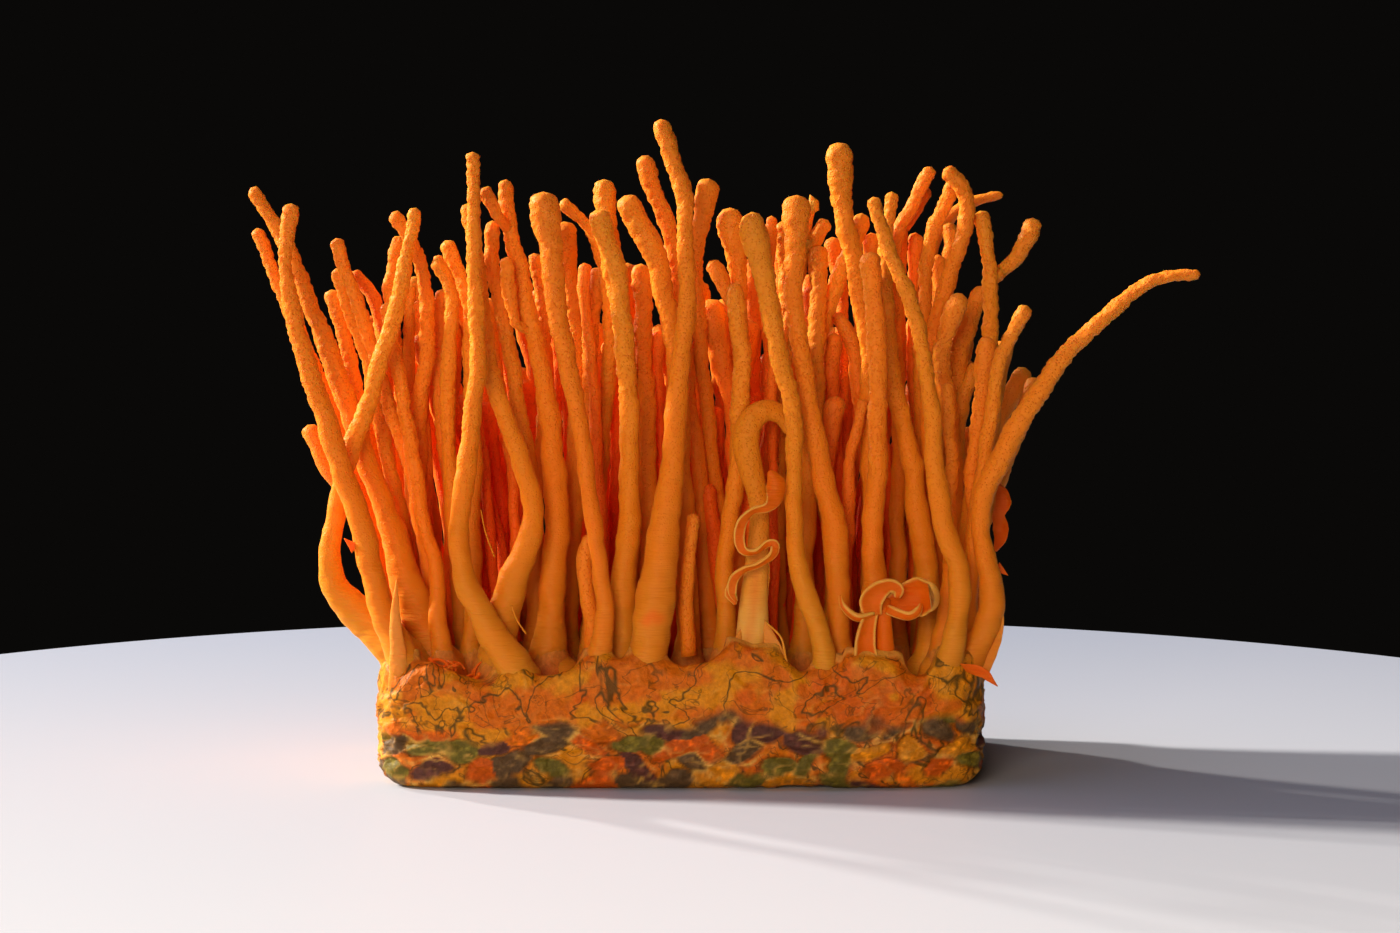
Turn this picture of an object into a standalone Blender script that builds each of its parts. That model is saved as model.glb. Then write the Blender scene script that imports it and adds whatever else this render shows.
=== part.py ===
"""Cordyceps bunch: a cake of cooked grain knitted together by orange mycelium, with
slender orange clubs growing out of its top. Everything is in metres, +Z up, with the
origin at the middle of the cake's underside and the viewer's long face towards -Y.

Each club is a tapering tube along its own route. A route is sighted: its x and z are
read against a grid standing on the cake's front face, from an eye some half a metre in
front of it, and are then carried back along the line of sight to the club's own depth.
"""

import bmesh
import bpy
import numpy as np
from mathutils import Vector, noise

MM = 0.001

# Driving dimensions of the cake, in millimetres.
CAKE_LENGTH = 103.0
CAKE_DEPTH = 56.0
CAKE_HEIGHT = 20.0
CAKE_CELLS = (17, 9, 4)  # faces along x, y and z
CORNER_POWER = 9.0  # of the superellipse that rounds the cake's plan
SIDE_LUMPS = 0.9  # how far lumps stand in or out of a side
TOP_DIPS = 1.4  # how deep the hollows of the top go
FOOT_INSET = 1.1  # how far the underside's edge draws in

# The sighting grid stands on the cake's front face, and the eye looks along +Y.
EYE = np.array([3.3, -508.0, 90.8])
GRID_DEPTH = -CAKE_DEPTH / 2

# Clubs.
FOOT_GAP = 0.3  # air between a club's foot and the cake
CLEARANCE = 0.5  # least air between two clubs
ROUTE_SAMPLES = 32  # points along a route while clubs are parted
RING_SPACING = 10.2
FEWEST_RINGS, MOST_RINGS = 5, 13
BEND_WEIGHT = 9.0  # rings crowd where a club bends: extra share per radian a millimetre
BEVEL_RESOLUTION = 2  # eight sides
TIP_SHAPE = ((0.85, 0.86), (0.0, 0.45))  # (radii short of the end, share of radius)
PARTING_ROUNDS = 150
PARTING_STEP = 0.45
EDGE_MARGIN = 1.2  # least distance from a foot's side to the cake's edge

# The whole crowd spreads as it rises, away from a plane along its middle.
FAN_MIDDLE = -4.0
FAN_OUT = 0.3  # at FAN_HEIGHT above the cake, and growing with the square of the height
FAN_HEIGHT = 90.0

# Thickets stand for the crowd of clubs behind the single ones.
THICKET_DEPTHS = (7.0, 20.0)
THICKET_HEIGHT = 88.0
THICKET_CELLS = (5, 2, 5)
THICKET_GAP = 2.0
THICKET_SPREAD = 1.16  # how much wider the top is than the foot
SIDE_RAGGEDNESS = 0.06  # share of the width
TOP_RAGGEDNESS = 12.0  # millimetres

# sRGB colours, by eye.
CLUB_ORANGE = (0.96, 0.50, 0.10)
PALE_ORANGE = (0.93, 0.66, 0.30)
CAKE_ORANGE = (0.80, 0.50, 0.14)

# name: (depth of foot, depth of tip, (foot x, foot radius), sighted (x, z, radius)...)
# Numbered from left to right by tip, in millimetres.
CLUBS = {
    "club_01": (-14, -11, (-41.5, 2.9), [
        (-44.0, 30, 3.0), (-46.0, 38, 2.6), (-48.7, 46, 2.1), (-51.5, 54, 1.8),
        (-55.0, 64, 1.7), (-58.3, 74, 1.6), (-60.8, 80, 1.4), (-63.2, 87, 1.2),
        (-66.6, 94.8, 1.2), (-69.4, 99.4, 1.1), (-71.0, 101.0, 0.7)]),
    "club_02": (-8, -8, (-48.0, 1.7), [
        (-50.5, 38, 1.4), (-54.0, 54, 1.3), (-57.4, 63, 1.3), (-60.8, 71.5, 1.3),
        (-64.0, 78.5, 1.2), (-67.0, 85, 1.1), (-69.0, 90, 1.0), (-69.9, 94.4, 0.8)]),
    "club_03": (-21, -22, (-46.2, 2.3), [
        (-49.6, 29, 2.1), (-51.4, 36, 2.0), (-53.0, 43, 1.9), (-54.9, 50, 1.85),
        (-58.1, 60, 1.75), (-61.3, 70, 1.6), (-63.9, 78, 1.4), (-65.3, 86, 1.2),
        (-65.2, 92, 1.15), (-64.3, 96.5, 1.1), (-64.5, 98.4, 0.8)]),
    "club_04": (-3, -6, (-47.0, 1.5), [
        (-48.0, 40, 1.3), (-51.2, 56, 1.2), (-53.6, 66, 1.2), (-54.8, 73, 1.2),
        (-56.3, 78, 1.2), (-57.4, 82, 1.2), (-57.7, 84.2, 0.9)]),
    "club_05": (-6, -9, (-43.5, 1.6), [
        (-45.6, 40, 1.3), (-47.6, 50, 1.2), (-49.4, 60, 1.2), (-51.4, 70, 1.1),
        (-53.0, 75.5, 1.1), (-55.0, 81, 1.0), (-56.5, 85.5, 1.0), (-56.9, 87.6, 0.7)]),
    "club_06": (-10, -12, (-40.2, 1.5), [
        (-43.0, 45, 1.2), (-46.3, 58, 1.1), (-49.4, 69, 1.1), (-51.6, 76, 1.1),
        (-53.8, 82, 1.1), (-55.2, 87.5, 1.1), (-56.6, 91, 1.0), (-57.0, 92.7, 0.7)]),
    "club_07": (-15, -18, (-47.6, 2.9), [
        (-52.9, 28.5, 3.0), (-56.6, 32, 2.5), (-58.6, 37.5, 1.9), (-58.5, 43, 1.8),
        (-57.0, 50, 1.6), (-54.6, 58, 1.6), (-51.4, 66.5, 1.5), (-48.8, 74.5, 1.4),
        (-46.8, 82.5, 1.35), (-45.2, 90, 1.2), (-44.3, 94, 1.1), (-43.3, 97.6, 0.8)]),
    "club_08": (-17, -10, (-39.6, 1.5), [
        (-40.6, 29, 1.4), (-40.0, 33.5, 1.3), (-41.0, 38.5, 1.25), (-42.6, 45, 1.25),
        (-44.0, 53, 1.2), (-45.3, 61, 1.2), (-46.6, 69, 1.2), (-47.7, 76, 1.1),
        (-48.7, 82, 0.9)]),
    "club_09": (-1, -13, (-44.0, 1.6), [
        (-43.8, 40, 1.3), (-43.6, 56, 1.3), (-43.2, 67, 1.3), (-42.2, 75, 1.25),
        (-41.8, 82, 1.15), (-42.5, 88.5, 1.1), (-44.4, 93.2, 1.1), (-46.3, 95.6, 1.0),
        (-47.6, 97.0, 0.8)]),
    "club_10": (1, -5, (-40.2, 1.6), [
        (-41.5, 45, 1.3), (-44.5, 62, 1.2), (-47.0, 74, 1.2), (-48.3, 82, 1.2),
        (-48.1, 87, 1.2), (-46.9, 91, 1.1), (-46.2, 93, 0.8)]),
    "club_11": (-7, -13, (-36.5, 1.6), [
        (-37.5, 42, 1.3), (-38.8, 56, 1.2), (-38.8, 68, 1.2), (-38.0, 78, 1.1),
        (-37.5, 83.5, 1.1), (-38.3, 86.8, 1.1), (-39.6, 88.4, 1.0), (-41.0, 88.8, 0.7)]),
    "club_12": (-11, -10, (-35.0, 1.5), [
        (-34.4, 45, 1.3), (-34.4, 62, 1.2), (-34.9, 74, 1.2), (-35.4, 83, 1.2),
        (-36.7, 87.8, 1.2), (-38.2, 91, 1.15), (-38.9, 92.3, 0.9)]),
    "club_13": (-21, -17, (-31.2, 2.5), [
        (-30.2, 28.5, 2.7), (-28.3, 34.5, 2.7), (-26.2, 39.5, 2.3), (-24.8, 44, 1.9),
        (-24.4, 49, 1.7), (-25.7, 54, 1.7), (-28.0, 59.5, 1.55), (-30.1, 65.5, 1.5),
        (-32.0, 74, 1.4), (-33.4, 84, 1.3), (-34.8, 92, 1.25), (-35.0, 98.4, 0.9)]),
    "club_14": (-24, -23, (-28.4, 2.4), [
        (-30.6, 24.5, 2.3), (-33.3, 28.7, 2.2), (-35.8, 33.5, 2.0), (-37.0, 39, 1.85),
        (-36.9, 45, 1.75), (-35.8, 54, 1.65), (-34.3, 64, 1.5), (-33.7, 73, 1.4),
        (-33.8, 84, 1.3), (-34.0, 95, 1.2), (-34.1, 102, 1.2), (-34.2, 106.9, 0.8)]),
    "club_15": (-10, -15, (-24.5, 1.8), [
        (-24.2, 42, 1.5), (-25.2, 55, 1.3), (-27.0, 66, 1.25), (-28.9, 76, 1.25),
        (-30.4, 84, 1.3), (-31.2, 90, 1.3), (-31.2, 95.6, 0.9)]),
    "club_16": (-14, -14, (-22.0, 2.6), [
        (-21.8, 30, 2.4), (-20.9, 38, 2.1), (-20.6, 46, 2.0), (-21.2, 57, 1.85),
        (-22.3, 67, 1.65), (-24.0, 76, 1.5), (-26.2, 85.5, 1.5), (-27.9, 91.5, 1.35),
        (-29.0, 97, 1.3), (-28.7, 102.3, 1.0)]),
    "club_17": (-2, -6, (-25.5, 1.6), [
        (-24.5, 45, 1.3), (-22.8, 62, 1.2), (-22.4, 76, 1.1), (-23.2, 85, 1.1),
        (-24.0, 90.2, 0.8)]),
    "club_18": (-24.5, -20, (-14.0, 1.9), [
        (-12.8, 27, 1.45), (-12.4, 33, 1.35), (-13.5, 39, 1.35), (-14.9, 45, 1.5),
        (-15.3, 52, 1.45), (-16.6, 61, 1.5), (-18.8, 71.5, 1.55), (-20.4, 81, 1.6),
        (-21.3, 90, 1.8), (-22.2, 95.5, 2.1), (-22.5, 100.3, 1.5)]),
    "club_19": (-4, -9, (-19.5, 1.9), [
        (-18.2, 42, 1.6), (-17.2, 60, 1.5), (-17.4, 74, 1.5), (-18.0, 85, 1.6),
        (-18.7, 91, 1.6), (-19.0, 95.4, 1.3)]),
    "club_20": (-1, -12, (-15.5, 1.6), [
        (-14.0, 45, 1.3), (-12.6, 62, 1.2), (-11.8, 76, 1.1), (-12.2, 86, 1.0),
        (-13.8, 93, 1.05), (-16.2, 96.6, 1.05), (-19.6, 99.0, 0.8)]),
    "club_21": (-8, -8, (-14.8, 1.7), [
        (-13.8, 42, 1.4), (-14.6, 60, 1.3), (-15.6, 72, 1.3), (-15.0, 79, 1.3),
        (-14.0, 84, 1.35), (-13.2, 87.8, 0.9)]),
    "club_22": (-18.5, -20, (-10.0, 2.3), [
        (-9.7, 30, 2.3), (-9.0, 39, 2.05), (-8.3, 48, 1.8), (-8.5, 60, 1.7),
        (-9.0, 72, 1.6), (-9.4, 81, 1.5), (-10.0, 87, 1.55), (-12.2, 92.2, 1.7),
        (-13.8, 97.4, 1.3)]),
    "club_23": (-5, -12, (-7.0, 1.9), [
        (-7.6, 45, 1.5), (-8.4, 62, 1.4), (-9.6, 78, 1.4), (-11.0, 89, 1.5),
        (-12.4, 95, 1.9), (-12.6, 102.4, 1.5)]),
    "club_24": (-11, -8, (-5.0, 1.9), [
        (-5.2, 45, 1.6), (-5.5, 60, 1.4), (-5.8, 72, 1.4), (-6.2, 81, 1.6),
        (-6.3, 88.4, 1.2)]),
    "club_25": (-13, -17, (1.2, 1.9), [
        (1.2, 42, 1.6), (0.2, 58, 1.6), (-0.6, 70, 1.6), (-1.6, 80, 1.6),
        (-3.4, 86.5, 1.8), (-5.0, 91.5, 1.9), (-7.2, 96, 1.9), (-9.0, 99.8, 1.4)]),
    "club_26": (-7, -12, (5.0, 1.6), [
        (3.4, 50, 1.3), (1.0, 70, 1.1), (-0.2, 86, 1.0), (-0.8, 93, 1.1),
        (-3.0, 97.2, 1.4), (-4.9, 101.6, 1.6), (-6.4, 106.2, 1.2)]),
    "club_27": (-24, -20, (-5.6, 2.6), [
        (-4.9, 25.5, 3.3), (-4.3, 30.5, 3.3), (-3.4, 37, 2.95), (-2.6, 45, 2.4),
        (-1.7, 54, 2.05), (-0.7, 64, 1.75), (0.4, 74, 1.5), (1.2, 84, 1.45),
        (1.0, 95, 1.35), (-0.4, 104, 1.45), (-2.6, 109, 1.4), (-3.1, 112.3, 0.9)]),
    "club_28": (-3, -12, (8.0, 1.7), [
        (6.6, 45, 1.4), (4.0, 66, 1.2), (2.6, 84, 1.1), (2.9, 93, 1.25),
        (4.0, 98, 1.6), (4.8, 102.5, 1.3)]),
    "club_29": (-9, -10, (10.8, 1.8), [
        (9.9, 48, 1.5), (9.8, 66, 1.4), (9.9, 82, 1.4), (8.8, 91, 1.5),
        (8.0, 95.5, 1.8), (8.2, 97.7, 1.3)]),
    "club_30": (-16.5, -18, (7.4, 1.8), [
        (8.0, 42, 1.5), (9.6, 58, 1.45), (10.3, 70, 1.4), (9.6, 78.5, 1.5),
        (9.2, 85.3, 1.2)]),
    "club_31": (-24.5, -21, (24.4, 1.7), [
        (23.4, 26, 1.7), (21.3, 32.5, 1.75), (19.4, 38.5, 1.65), (18.7, 45, 1.5),
        (19.2, 54, 1.35), (18.8, 63, 1.45), (16.9, 72, 1.55), (14.9, 81, 1.65),
        (13.0, 89.5, 1.7), (12.0, 94.5, 1.9), (11.9, 97.0, 1.4)]),
    "club_32": (-2, -7, (16.5, 1.7), [
        (16.2, 45, 1.4), (16.8, 64, 1.3), (17.6, 80, 1.2), (17.3, 90, 1.15),
        (16.4, 95.3, 0.9)]),
    "club_33": (-20, -17, (27.2, 1.7), [
        (26.9, 29, 1.9), (26.3, 37, 2.1), (25.6, 44, 2.1), (24.0, 52, 1.8),
        (22.0, 62, 1.55), (20.3, 73, 1.5), (18.8, 83, 1.5), (18.7, 91, 1.55),
        (19.3, 97, 2.0), (19.3, 99.8, 1.5)]),
    "club_34": (-10, -7, (20.5, 1.8), [
        (21.0, 45, 1.5), (22.6, 62, 1.4), (22.6, 74, 1.35), (22.9, 84, 1.5),
        (23.0, 91.5, 1.2)]),
    "club_35": (-8, -13, (31.8, 1.8), [
        (31.8, 45, 1.5), (31.4, 62, 1.3), (30.8, 78, 1.25), (28.7, 88.5, 1.45),
        (27.3, 96, 1.75), (26.5, 102.5, 2.0), (25.8, 108.4, 1.6)]),
    "club_36": (-4, -7, (26.5, 1.7), [
        (25.0, 45, 1.4), (21.8, 62, 1.2), (21.6, 73, 1.2), (23.8, 80, 1.25),
        (26.2, 86, 1.35), (28.6, 90.5, 1.3), (30.0, 94, 1.2), (30.1, 96.8, 0.9)]),
    "club_37": (-18, -19.5, (32.8, 2.2), [
        (32.3, 36, 2.05), (32.2, 44, 1.85), (33.0, 55, 1.7), (33.3, 66, 1.5),
        (32.4, 76, 1.55), (31.6, 85, 1.7), (31.5, 90.4, 1.2)]),
    "club_38": (-13, -10, (42.0, 2.0), [
        (41.0, 38, 1.9), (39.6, 48, 1.8), (37.6, 59, 1.65), (35.7, 69, 1.45),
        (34.2, 80, 1.3), (34.2, 90, 1.1), (34.3, 96, 1.0), (35.0, 100.3, 0.8)]),
    "club_39": (-23.8, -25.5, (45.0, 1.8), [
        (46.9, 29.5, 1.75), (47.2, 34.5, 1.7), (46.1, 40, 1.85), (43.9, 46.5, 1.8),
        (42.5, 54, 1.6), (41.7, 65, 1.45), (40.0, 76, 1.3), (36.4, 86, 1.2),
        (33.4, 94, 1.1), (31.9, 99.5, 0.7)]),
    "club_40": (-6, -6, (36.0, 1.8), [
        (36.2, 45, 1.4), (36.8, 62, 1.2), (35.6, 78, 1.1), (35.2, 91, 1.1),
        (37.6, 97.5, 1.3), (40.0, 101.6, 1.1), (41.7, 104.4, 0.8)]),
    "club_41": (-1, -9, (40.5, 1.6), [
        (40.2, 45, 1.3), (40.0, 62, 1.2), (40.3, 78, 1.15), (40.9, 90, 1.15),
        (42.6, 96.5, 1.15), (44.6, 100.6, 1.1), (46.2, 103.2, 0.9)]),
    "club_42": (-6, -13, (43.8, 1.7), [
        (42.6, 45, 1.4), (41.2, 60, 1.3), (41.0, 72, 1.25), (43.2, 82, 1.3),
        (45.4, 88.5, 1.3), (47.3, 93.5, 1.3), (48.0, 98.4, 1.3), (46.8, 102.0, 1.2),
        (43.6, 104.0, 0.9)]),
    "club_43": (-8.5, -16, (46.0, 1.7), [
        (46.2, 42, 1.4), (45.8, 56, 1.3), (44.0, 68, 1.4), (43.4, 76, 1.5),
        (44.8, 80, 1.6), (46.6, 83.6, 1.2)]),
    "club_44": (-17.5, -18, (43.2, 1.4), [
        (44.9, 38, 1.2), (45.3, 47, 1.1), (44.9, 57, 1.15), (44.5, 68.8, 0.9)]),
    "club_45": (-12, -11.5, (48.0, 1.9), [
        (47.6, 38, 1.5), (48.6, 50, 1.4), (50.6, 62, 1.35), (51.6, 74, 1.35),
        (51.5, 84, 1.3), (50.9, 91.5, 1.25), (49.6, 97.2, 0.9)]),
    "club_46": (-4, -8, (48.6, 1.6), [
        (46.6, 42, 1.2), (45.8, 56, 1.2), (45.9, 68, 1.3), (46.6, 75, 1.45),
        (48.4, 80.5, 1.5), (50.0, 84.8, 1.0)]),
    "club_47": (-15, -18, (50.0, 1.6), [
        (49.2, 36, 1.4), (48.6, 50, 1.3), (49.6, 62, 1.25), (50.6, 71, 1.5),
        (51.3, 76.4, 1.3)]),
    "club_48": (-18, -21.4, (47.6, 1.6), [
        (48.9, 38, 1.3), (49.4, 48, 1.25), (50.9, 58, 1.25), (52.2, 67, 1.2),
        (53.6, 74, 1.2), (55.6, 78.4, 1.15), (57.4, 81.6, 0.9)]),
    "club_49": (-21, -27, (48.4, 2.0), [
        (51.9, 28, 2.2), (52.4, 33, 2.0), (51.2, 39, 1.75), (49.8, 44.5, 1.6),
        (50.6, 51, 1.7), (54.4, 58, 1.8), (58.8, 65.5, 1.65), (64.5, 73.8, 1.35),
        (71.2, 80.4, 1.25), (77.0, 85.2, 1.15), (81.5, 86.8, 1.05), (86.3, 86.7, 0.6)]),
}

# Branches spring from the side of a club: (depth at start, depth at tip, route).
BRANCHES = {
    "club_16_spur": (-16, -17.5, [
        (-27.2, 78.5, 0.8), (-28.2, 82.0, 1.1), (-28.7, 85.5, 1.2), (-28.4, 89.4, 0.8)]),
    "club_16_branch": (-17.5, -18, [
        (-30.2, 96.2, 0.9), (-31.3, 98.8, 1.0), (-32.9, 100.7, 0.7)]),
    "club_45_branch": (-11.5, -11.5, [
        (53.3, 87.0, 1.1), (55.3, 89.1, 1.2), (57.3, 90.6, 1.2), (58.3, 93.0, 1.4),
        (58.4, 96.0, 1.3)]),
}

# The odd growths at the front: a club that has bent over, a torn cap rolled up on its own
# stub, and the tendril wound in front of the bent club.
GROWTHS = {
    "hooked_club": (-22.5, -20, (12.4, 3.0), [
        (12.4, 28, 2.2), (12.6, 36, 1.8), (12.8, 44, 1.7), (11.9, 52, 1.8),
        (10.6, 58.5, 1.9), (11.8, 63.2, 1.9), (14.9, 64.2, 1.6), (16.4, 61.0, 1.0)]),
    "rolled_cap": (-23.5, -24, (32.3, 2.6), [
        (32.2, 26.5, 2.1), (32.3, 31.5, 1.9), (35.6, 34.4, 1.9), (39.8, 35.2, 2.0),
        (41.6, 32.2, 1.7), (39.4, 30.2, 1.0)]),
}
TENDRIL = (-26.6, -26.2, [
    (15.2, 53.6, 0.9), (16.6, 51.0, 1.1), (15.2, 48.6, 0.95), (12.0, 47.2, 0.85),
    (9.9, 44.0, 0.85), (11.2, 41.2, 0.8), (14.0, 42.2, 0.75), (15.7, 41.6, 0.75),
    (14.0, 39.4, 0.7), (10.8, 38.0, 0.7), (9.0, 35.6, 0.7), (9.4, 33.0, 0.6)])


def carried_back(across, up, depth):
    """The sighted point at its own depth: along the line from the eye through the grid."""
    share = (depth - EYE[1]) / (GRID_DEPTH - EYE[1])
    x = EYE[0] + (across - EYE[0]) * share
    z = EYE[2] + (up - EYE[2]) * share
    return np.stack([x, depth, z], axis=-1), share


def sighted_height(height, depth):
    """Where a thing of this height at this depth shows on the sighting grid."""
    share = (depth - EYE[1]) / (GRID_DEPTH - EYE[1])
    return EYE[2] + (height - EYE[2]) / share


def smooth_through(points, count):
    """`count` points evenly spaced along the Catmull-Rom curve through `points`."""
    points = np.asarray(points, float)
    ends = 2 * points[[0, -1]] - points[[1, -2]]
    knots = np.concatenate([ends[:1], points, ends[1:]])
    t = np.linspace(0, 1, 24, endpoint=False)[:, None]
    pieces = []
    for before, start, end, after in zip(knots, knots[1:], knots[2:], knots[3:]):
        pieces.append(0.5 * (
            2 * start + (end - before) * t
            + (2 * before - 5 * start + 4 * end - after) * t ** 2
            + (3 * start - before - 3 * end + after) * t ** 3))
    curve = np.concatenate([*pieces, points[-1:]])
    steps = np.linalg.norm(np.diff(curve[:, :2], axis=0), axis=1)
    along = np.concatenate([[0], np.cumsum(steps)])
    wanted = np.linspace(0, along[-1], count)
    return np.stack([np.interp(wanted, along, column) for column in curve.T], axis=1)


def fanned(depth, height):
    """The depth of a thing at this height once the crowd has spread."""
    rise = np.clip((height - CAKE_HEIGHT) / FAN_HEIGHT, 0, None)
    return depth + FAN_OUT * (depth - FAN_MIDDLE) * rise ** 2


def sampled(start_depth, tip_depth, route):
    """(across, up, radius, depth) at even steps along a sighted route."""
    line = smooth_through(route, ROUTE_SAMPLES)
    depth = np.linspace(start_depth, tip_depth, ROUTE_SAMPLES)
    return np.column_stack([line, fanned(depth, line[:, 1])])


def rooted(entry):
    """A route whose foot stands on the cake, at the height that its depth gives it."""
    foot_depth, tip_depth, (foot_x, foot_radius), route = entry
    foot_up = sighted_height(CAKE_HEIGHT + FOOT_GAP, foot_depth)
    return sampled(foot_depth, tip_depth, [(foot_x, foot_up, foot_radius), *route])


def half_depth_at(x):
    """How far the cake's rounded plan reaches towards the eye at this x."""
    share = np.clip(np.abs(x) / (CAKE_LENGTH / 2), 0, 0.99) ** CORNER_POWER
    return CAKE_DEPTH / 2 * (1 - share) ** (1 / CORNER_POWER)


def spread_along(push):
    """A push on some points of a route, shared smoothly with the points beside them."""
    kernel = np.exp(-0.5 * (np.arange(-5, 6) / 2.2) ** 2)
    kernel /= kernel.sum()
    padded = np.pad(push, ((0, 0), (5, 5)), mode="edge")
    return np.stack([np.convolve(row, kernel, mode="valid") for row in padded])


def parted(lines):
    """Clubs that would touch push each other nearer or further along the line of sight.

    Each round, every pair of points that is too close is moved apart in depth by half of
    what is missing, and the push is shared along each club so that it bends smoothly.
    """
    lines = lines.copy()
    clubs, samples = lines.shape[:2]
    owner = np.repeat(np.arange(clubs), samples)
    other_club = owner[:, None] != owner[None, :]
    for _ in range(PARTING_ROUNDS):
        across, up, radius, depth = (lines[..., k].ravel() for k in range(4))
        place, share = carried_back(across, up, depth)
        radius = radius * share
        aside = (place[:, None, 0] - place[None, :, 0]) ** 2
        aside += (place[:, None, 2] - place[None, :, 2]) ** 2
        need = (radius[:, None] + radius[None, :] + CLEARANCE) ** 2 - aside
        need = np.sqrt(np.clip(need, 0, None))
        gap = depth[:, None] - depth[None, :]
        missing = np.where(other_club, need - np.abs(gap), 0)
        missing = np.clip(missing, 0, None) * np.sign(gap + 1e-9 * (owner[:, None] - owner))
        if not missing.any():
            break
        push = (missing.max(axis=1) + missing.min(axis=1)) / 2
        lines[..., 3] += PARTING_STEP * 2 * spread_along(push.reshape(clubs, samples))
        limit = half_depth_at(lines[:, 0, 0]) - EDGE_MARGIN - lines[:, 0, 2]
        lines[:, 0, 3] = np.clip(lines[:, 0, 3], -limit, limit)
    return lines


def grounded(place, radius):
    """Settles a club's lower stretch so that its leaning foot just clears the cake."""
    first_step = place[2] - place[0]
    lean = np.hypot(first_step[0], first_step[1]) / np.linalg.norm(first_step)
    miss = CAKE_HEIGHT + FOOT_GAP + radius[0] * lean - place[0, 2]
    fade = np.clip(1 - np.arange(len(place)) / 6, 0, 1)
    place[:, 2] += miss * fade
    return place


def rings_of(place, radius):
    """The few rings that carry a tube: closer where it bends, closing in at the tip."""
    steps = np.diff(place, axis=0)
    lengths = np.linalg.norm(steps, axis=1)
    along = np.concatenate([[0], np.cumsum(lengths)])
    length, tip_radius = along[-1], radius[-3]
    last = length - 1.6 * tip_radius
    headings = steps / lengths[:, None]
    bends = np.linalg.norm(np.diff(headings, axis=0), axis=1) / lengths[1:]
    bends = np.concatenate([bends[:1], bends])
    crowding = np.concatenate([[0], np.cumsum(lengths * (1 + BEND_WEIGHT * bends))])
    wanted_count = round(crowding[-1] / RING_SPACING) + 2
    count = int(np.clip(wanted_count, FEWEST_RINGS, MOST_RINGS)) - len(TIP_SHAPE)
    even = np.linspace(0, np.interp(last, along, crowding), count)
    wanted = list(np.interp(even, crowding, along))
    thickness = list(np.interp(wanted, along, radius))
    for short_of_end, share in TIP_SHAPE:
        wanted.append(length - short_of_end * tip_radius)
        thickness.append(tip_radius * share)
    rings = np.stack([np.interp(wanted, along, column) for column in place.T], axis=1)
    return rings, thickness


def material(name, colour, roughness):
    """A matt, non-metallic material of one colour, given as sRGB."""
    made = bpy.data.materials.new(name)
    made.use_nodes = True
    shader = made.node_tree.nodes["Principled BSDF"]
    linear = [((c + 0.055) / 1.055) ** 2.4 if c > 0.04045 else c / 12.92 for c in colour]
    shader.inputs["Base Color"].default_value = (*linear, 1.0)
    shader.inputs["Roughness"].default_value = roughness
    shader.inputs["Metallic"].default_value = 0.0
    made.diffuse_color = (*linear, 1.0)
    return made


def tube(name, rings, thickness, finish, collection):
    """A round tube of changing thickness along a polyline, closed at both ends."""
    curve = bpy.data.curves.new(name, "CURVE")
    curve.dimensions = "3D"
    curve.bevel_depth = MM
    curve.bevel_resolution = BEVEL_RESOLUTION
    curve.use_fill_caps = True
    spline = curve.splines.new("POLY")
    spline.points.add(len(rings) - 1)
    for point, place, radius in zip(spline.points, rings, thickness):
        point.co = (*(place * MM), 1.0)
        point.radius = radius
    curve.materials.append(finish)
    made = bpy.data.objects.new(name, curve)
    collection.objects.link(made)
    return made


def gridded_box(cells, size):
    """A box of this size on z = 0, cut into cells along each of its axes."""
    mesh = bmesh.new()
    bmesh.ops.create_cube(mesh, size=1.0)
    for axis, count in enumerate(cells):
        along = [
            edge for edge in mesh.edges
            if abs((edge.verts[0].co - edge.verts[1].co)[axis]) > 0.5]
        bmesh.ops.subdivide_edges(mesh, edges=along, cuts=count - 1, use_grid_fill=True)
    for vertex in mesh.verts:
        vertex.co.z += 0.5
        vertex.co = Vector(c * s for c, s in zip(vertex.co, size))
    return mesh


def mesh_object(name, mesh, finish, collection):
    data = bpy.data.meshes.new(name)
    bmesh.ops.recalc_face_normals(mesh, faces=mesh.faces)
    mesh.to_mesh(data)
    mesh.free()
    data.materials.append(finish)
    made = bpy.data.objects.new(name, data)
    collection.objects.link(made)
    return made


def grain_cake(finish, collection):
    """The cake: rounded in plan, lumpy on its sides, hollowed on top, flat underneath."""
    half_length, half_depth = CAKE_LENGTH / 2, CAKE_DEPTH / 2
    mesh = gridded_box(CAKE_CELLS, (CAKE_LENGTH, CAKE_DEPTH, CAKE_HEIGHT))
    for vertex in mesh.verts:
        x, y, z = vertex.co
        u, v = abs(x) / half_length, abs(y) / half_depth
        reach = (u ** CORNER_POWER + v ** CORNER_POWER) ** (1 / CORNER_POWER)
        square = max(u, v)
        scale = square / reach if reach > 0 else 1.0
        lump = noise.noise(vertex.co / 11.0)
        on_side = square > 0.999
        if on_side:
            inset = FOOT_INSET if z < 0.01 else 0.0
            scale *= 1 + (SIDE_LUMPS * (lump - 0.5) - inset) / half_depth
        vertex.co.x, vertex.co.y = x * scale, y * scale
        if z > CAKE_HEIGHT - 0.01:
            rim = 0.6 if on_side else 0.0
            vertex.co.z -= min(TOP_DIPS, rim + TOP_DIPS * abs(lump))
    bmesh.ops.scale(mesh, vec=(MM, MM, MM), verts=mesh.verts)
    return mesh_object("grain_cake", mesh, finish, collection)


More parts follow.
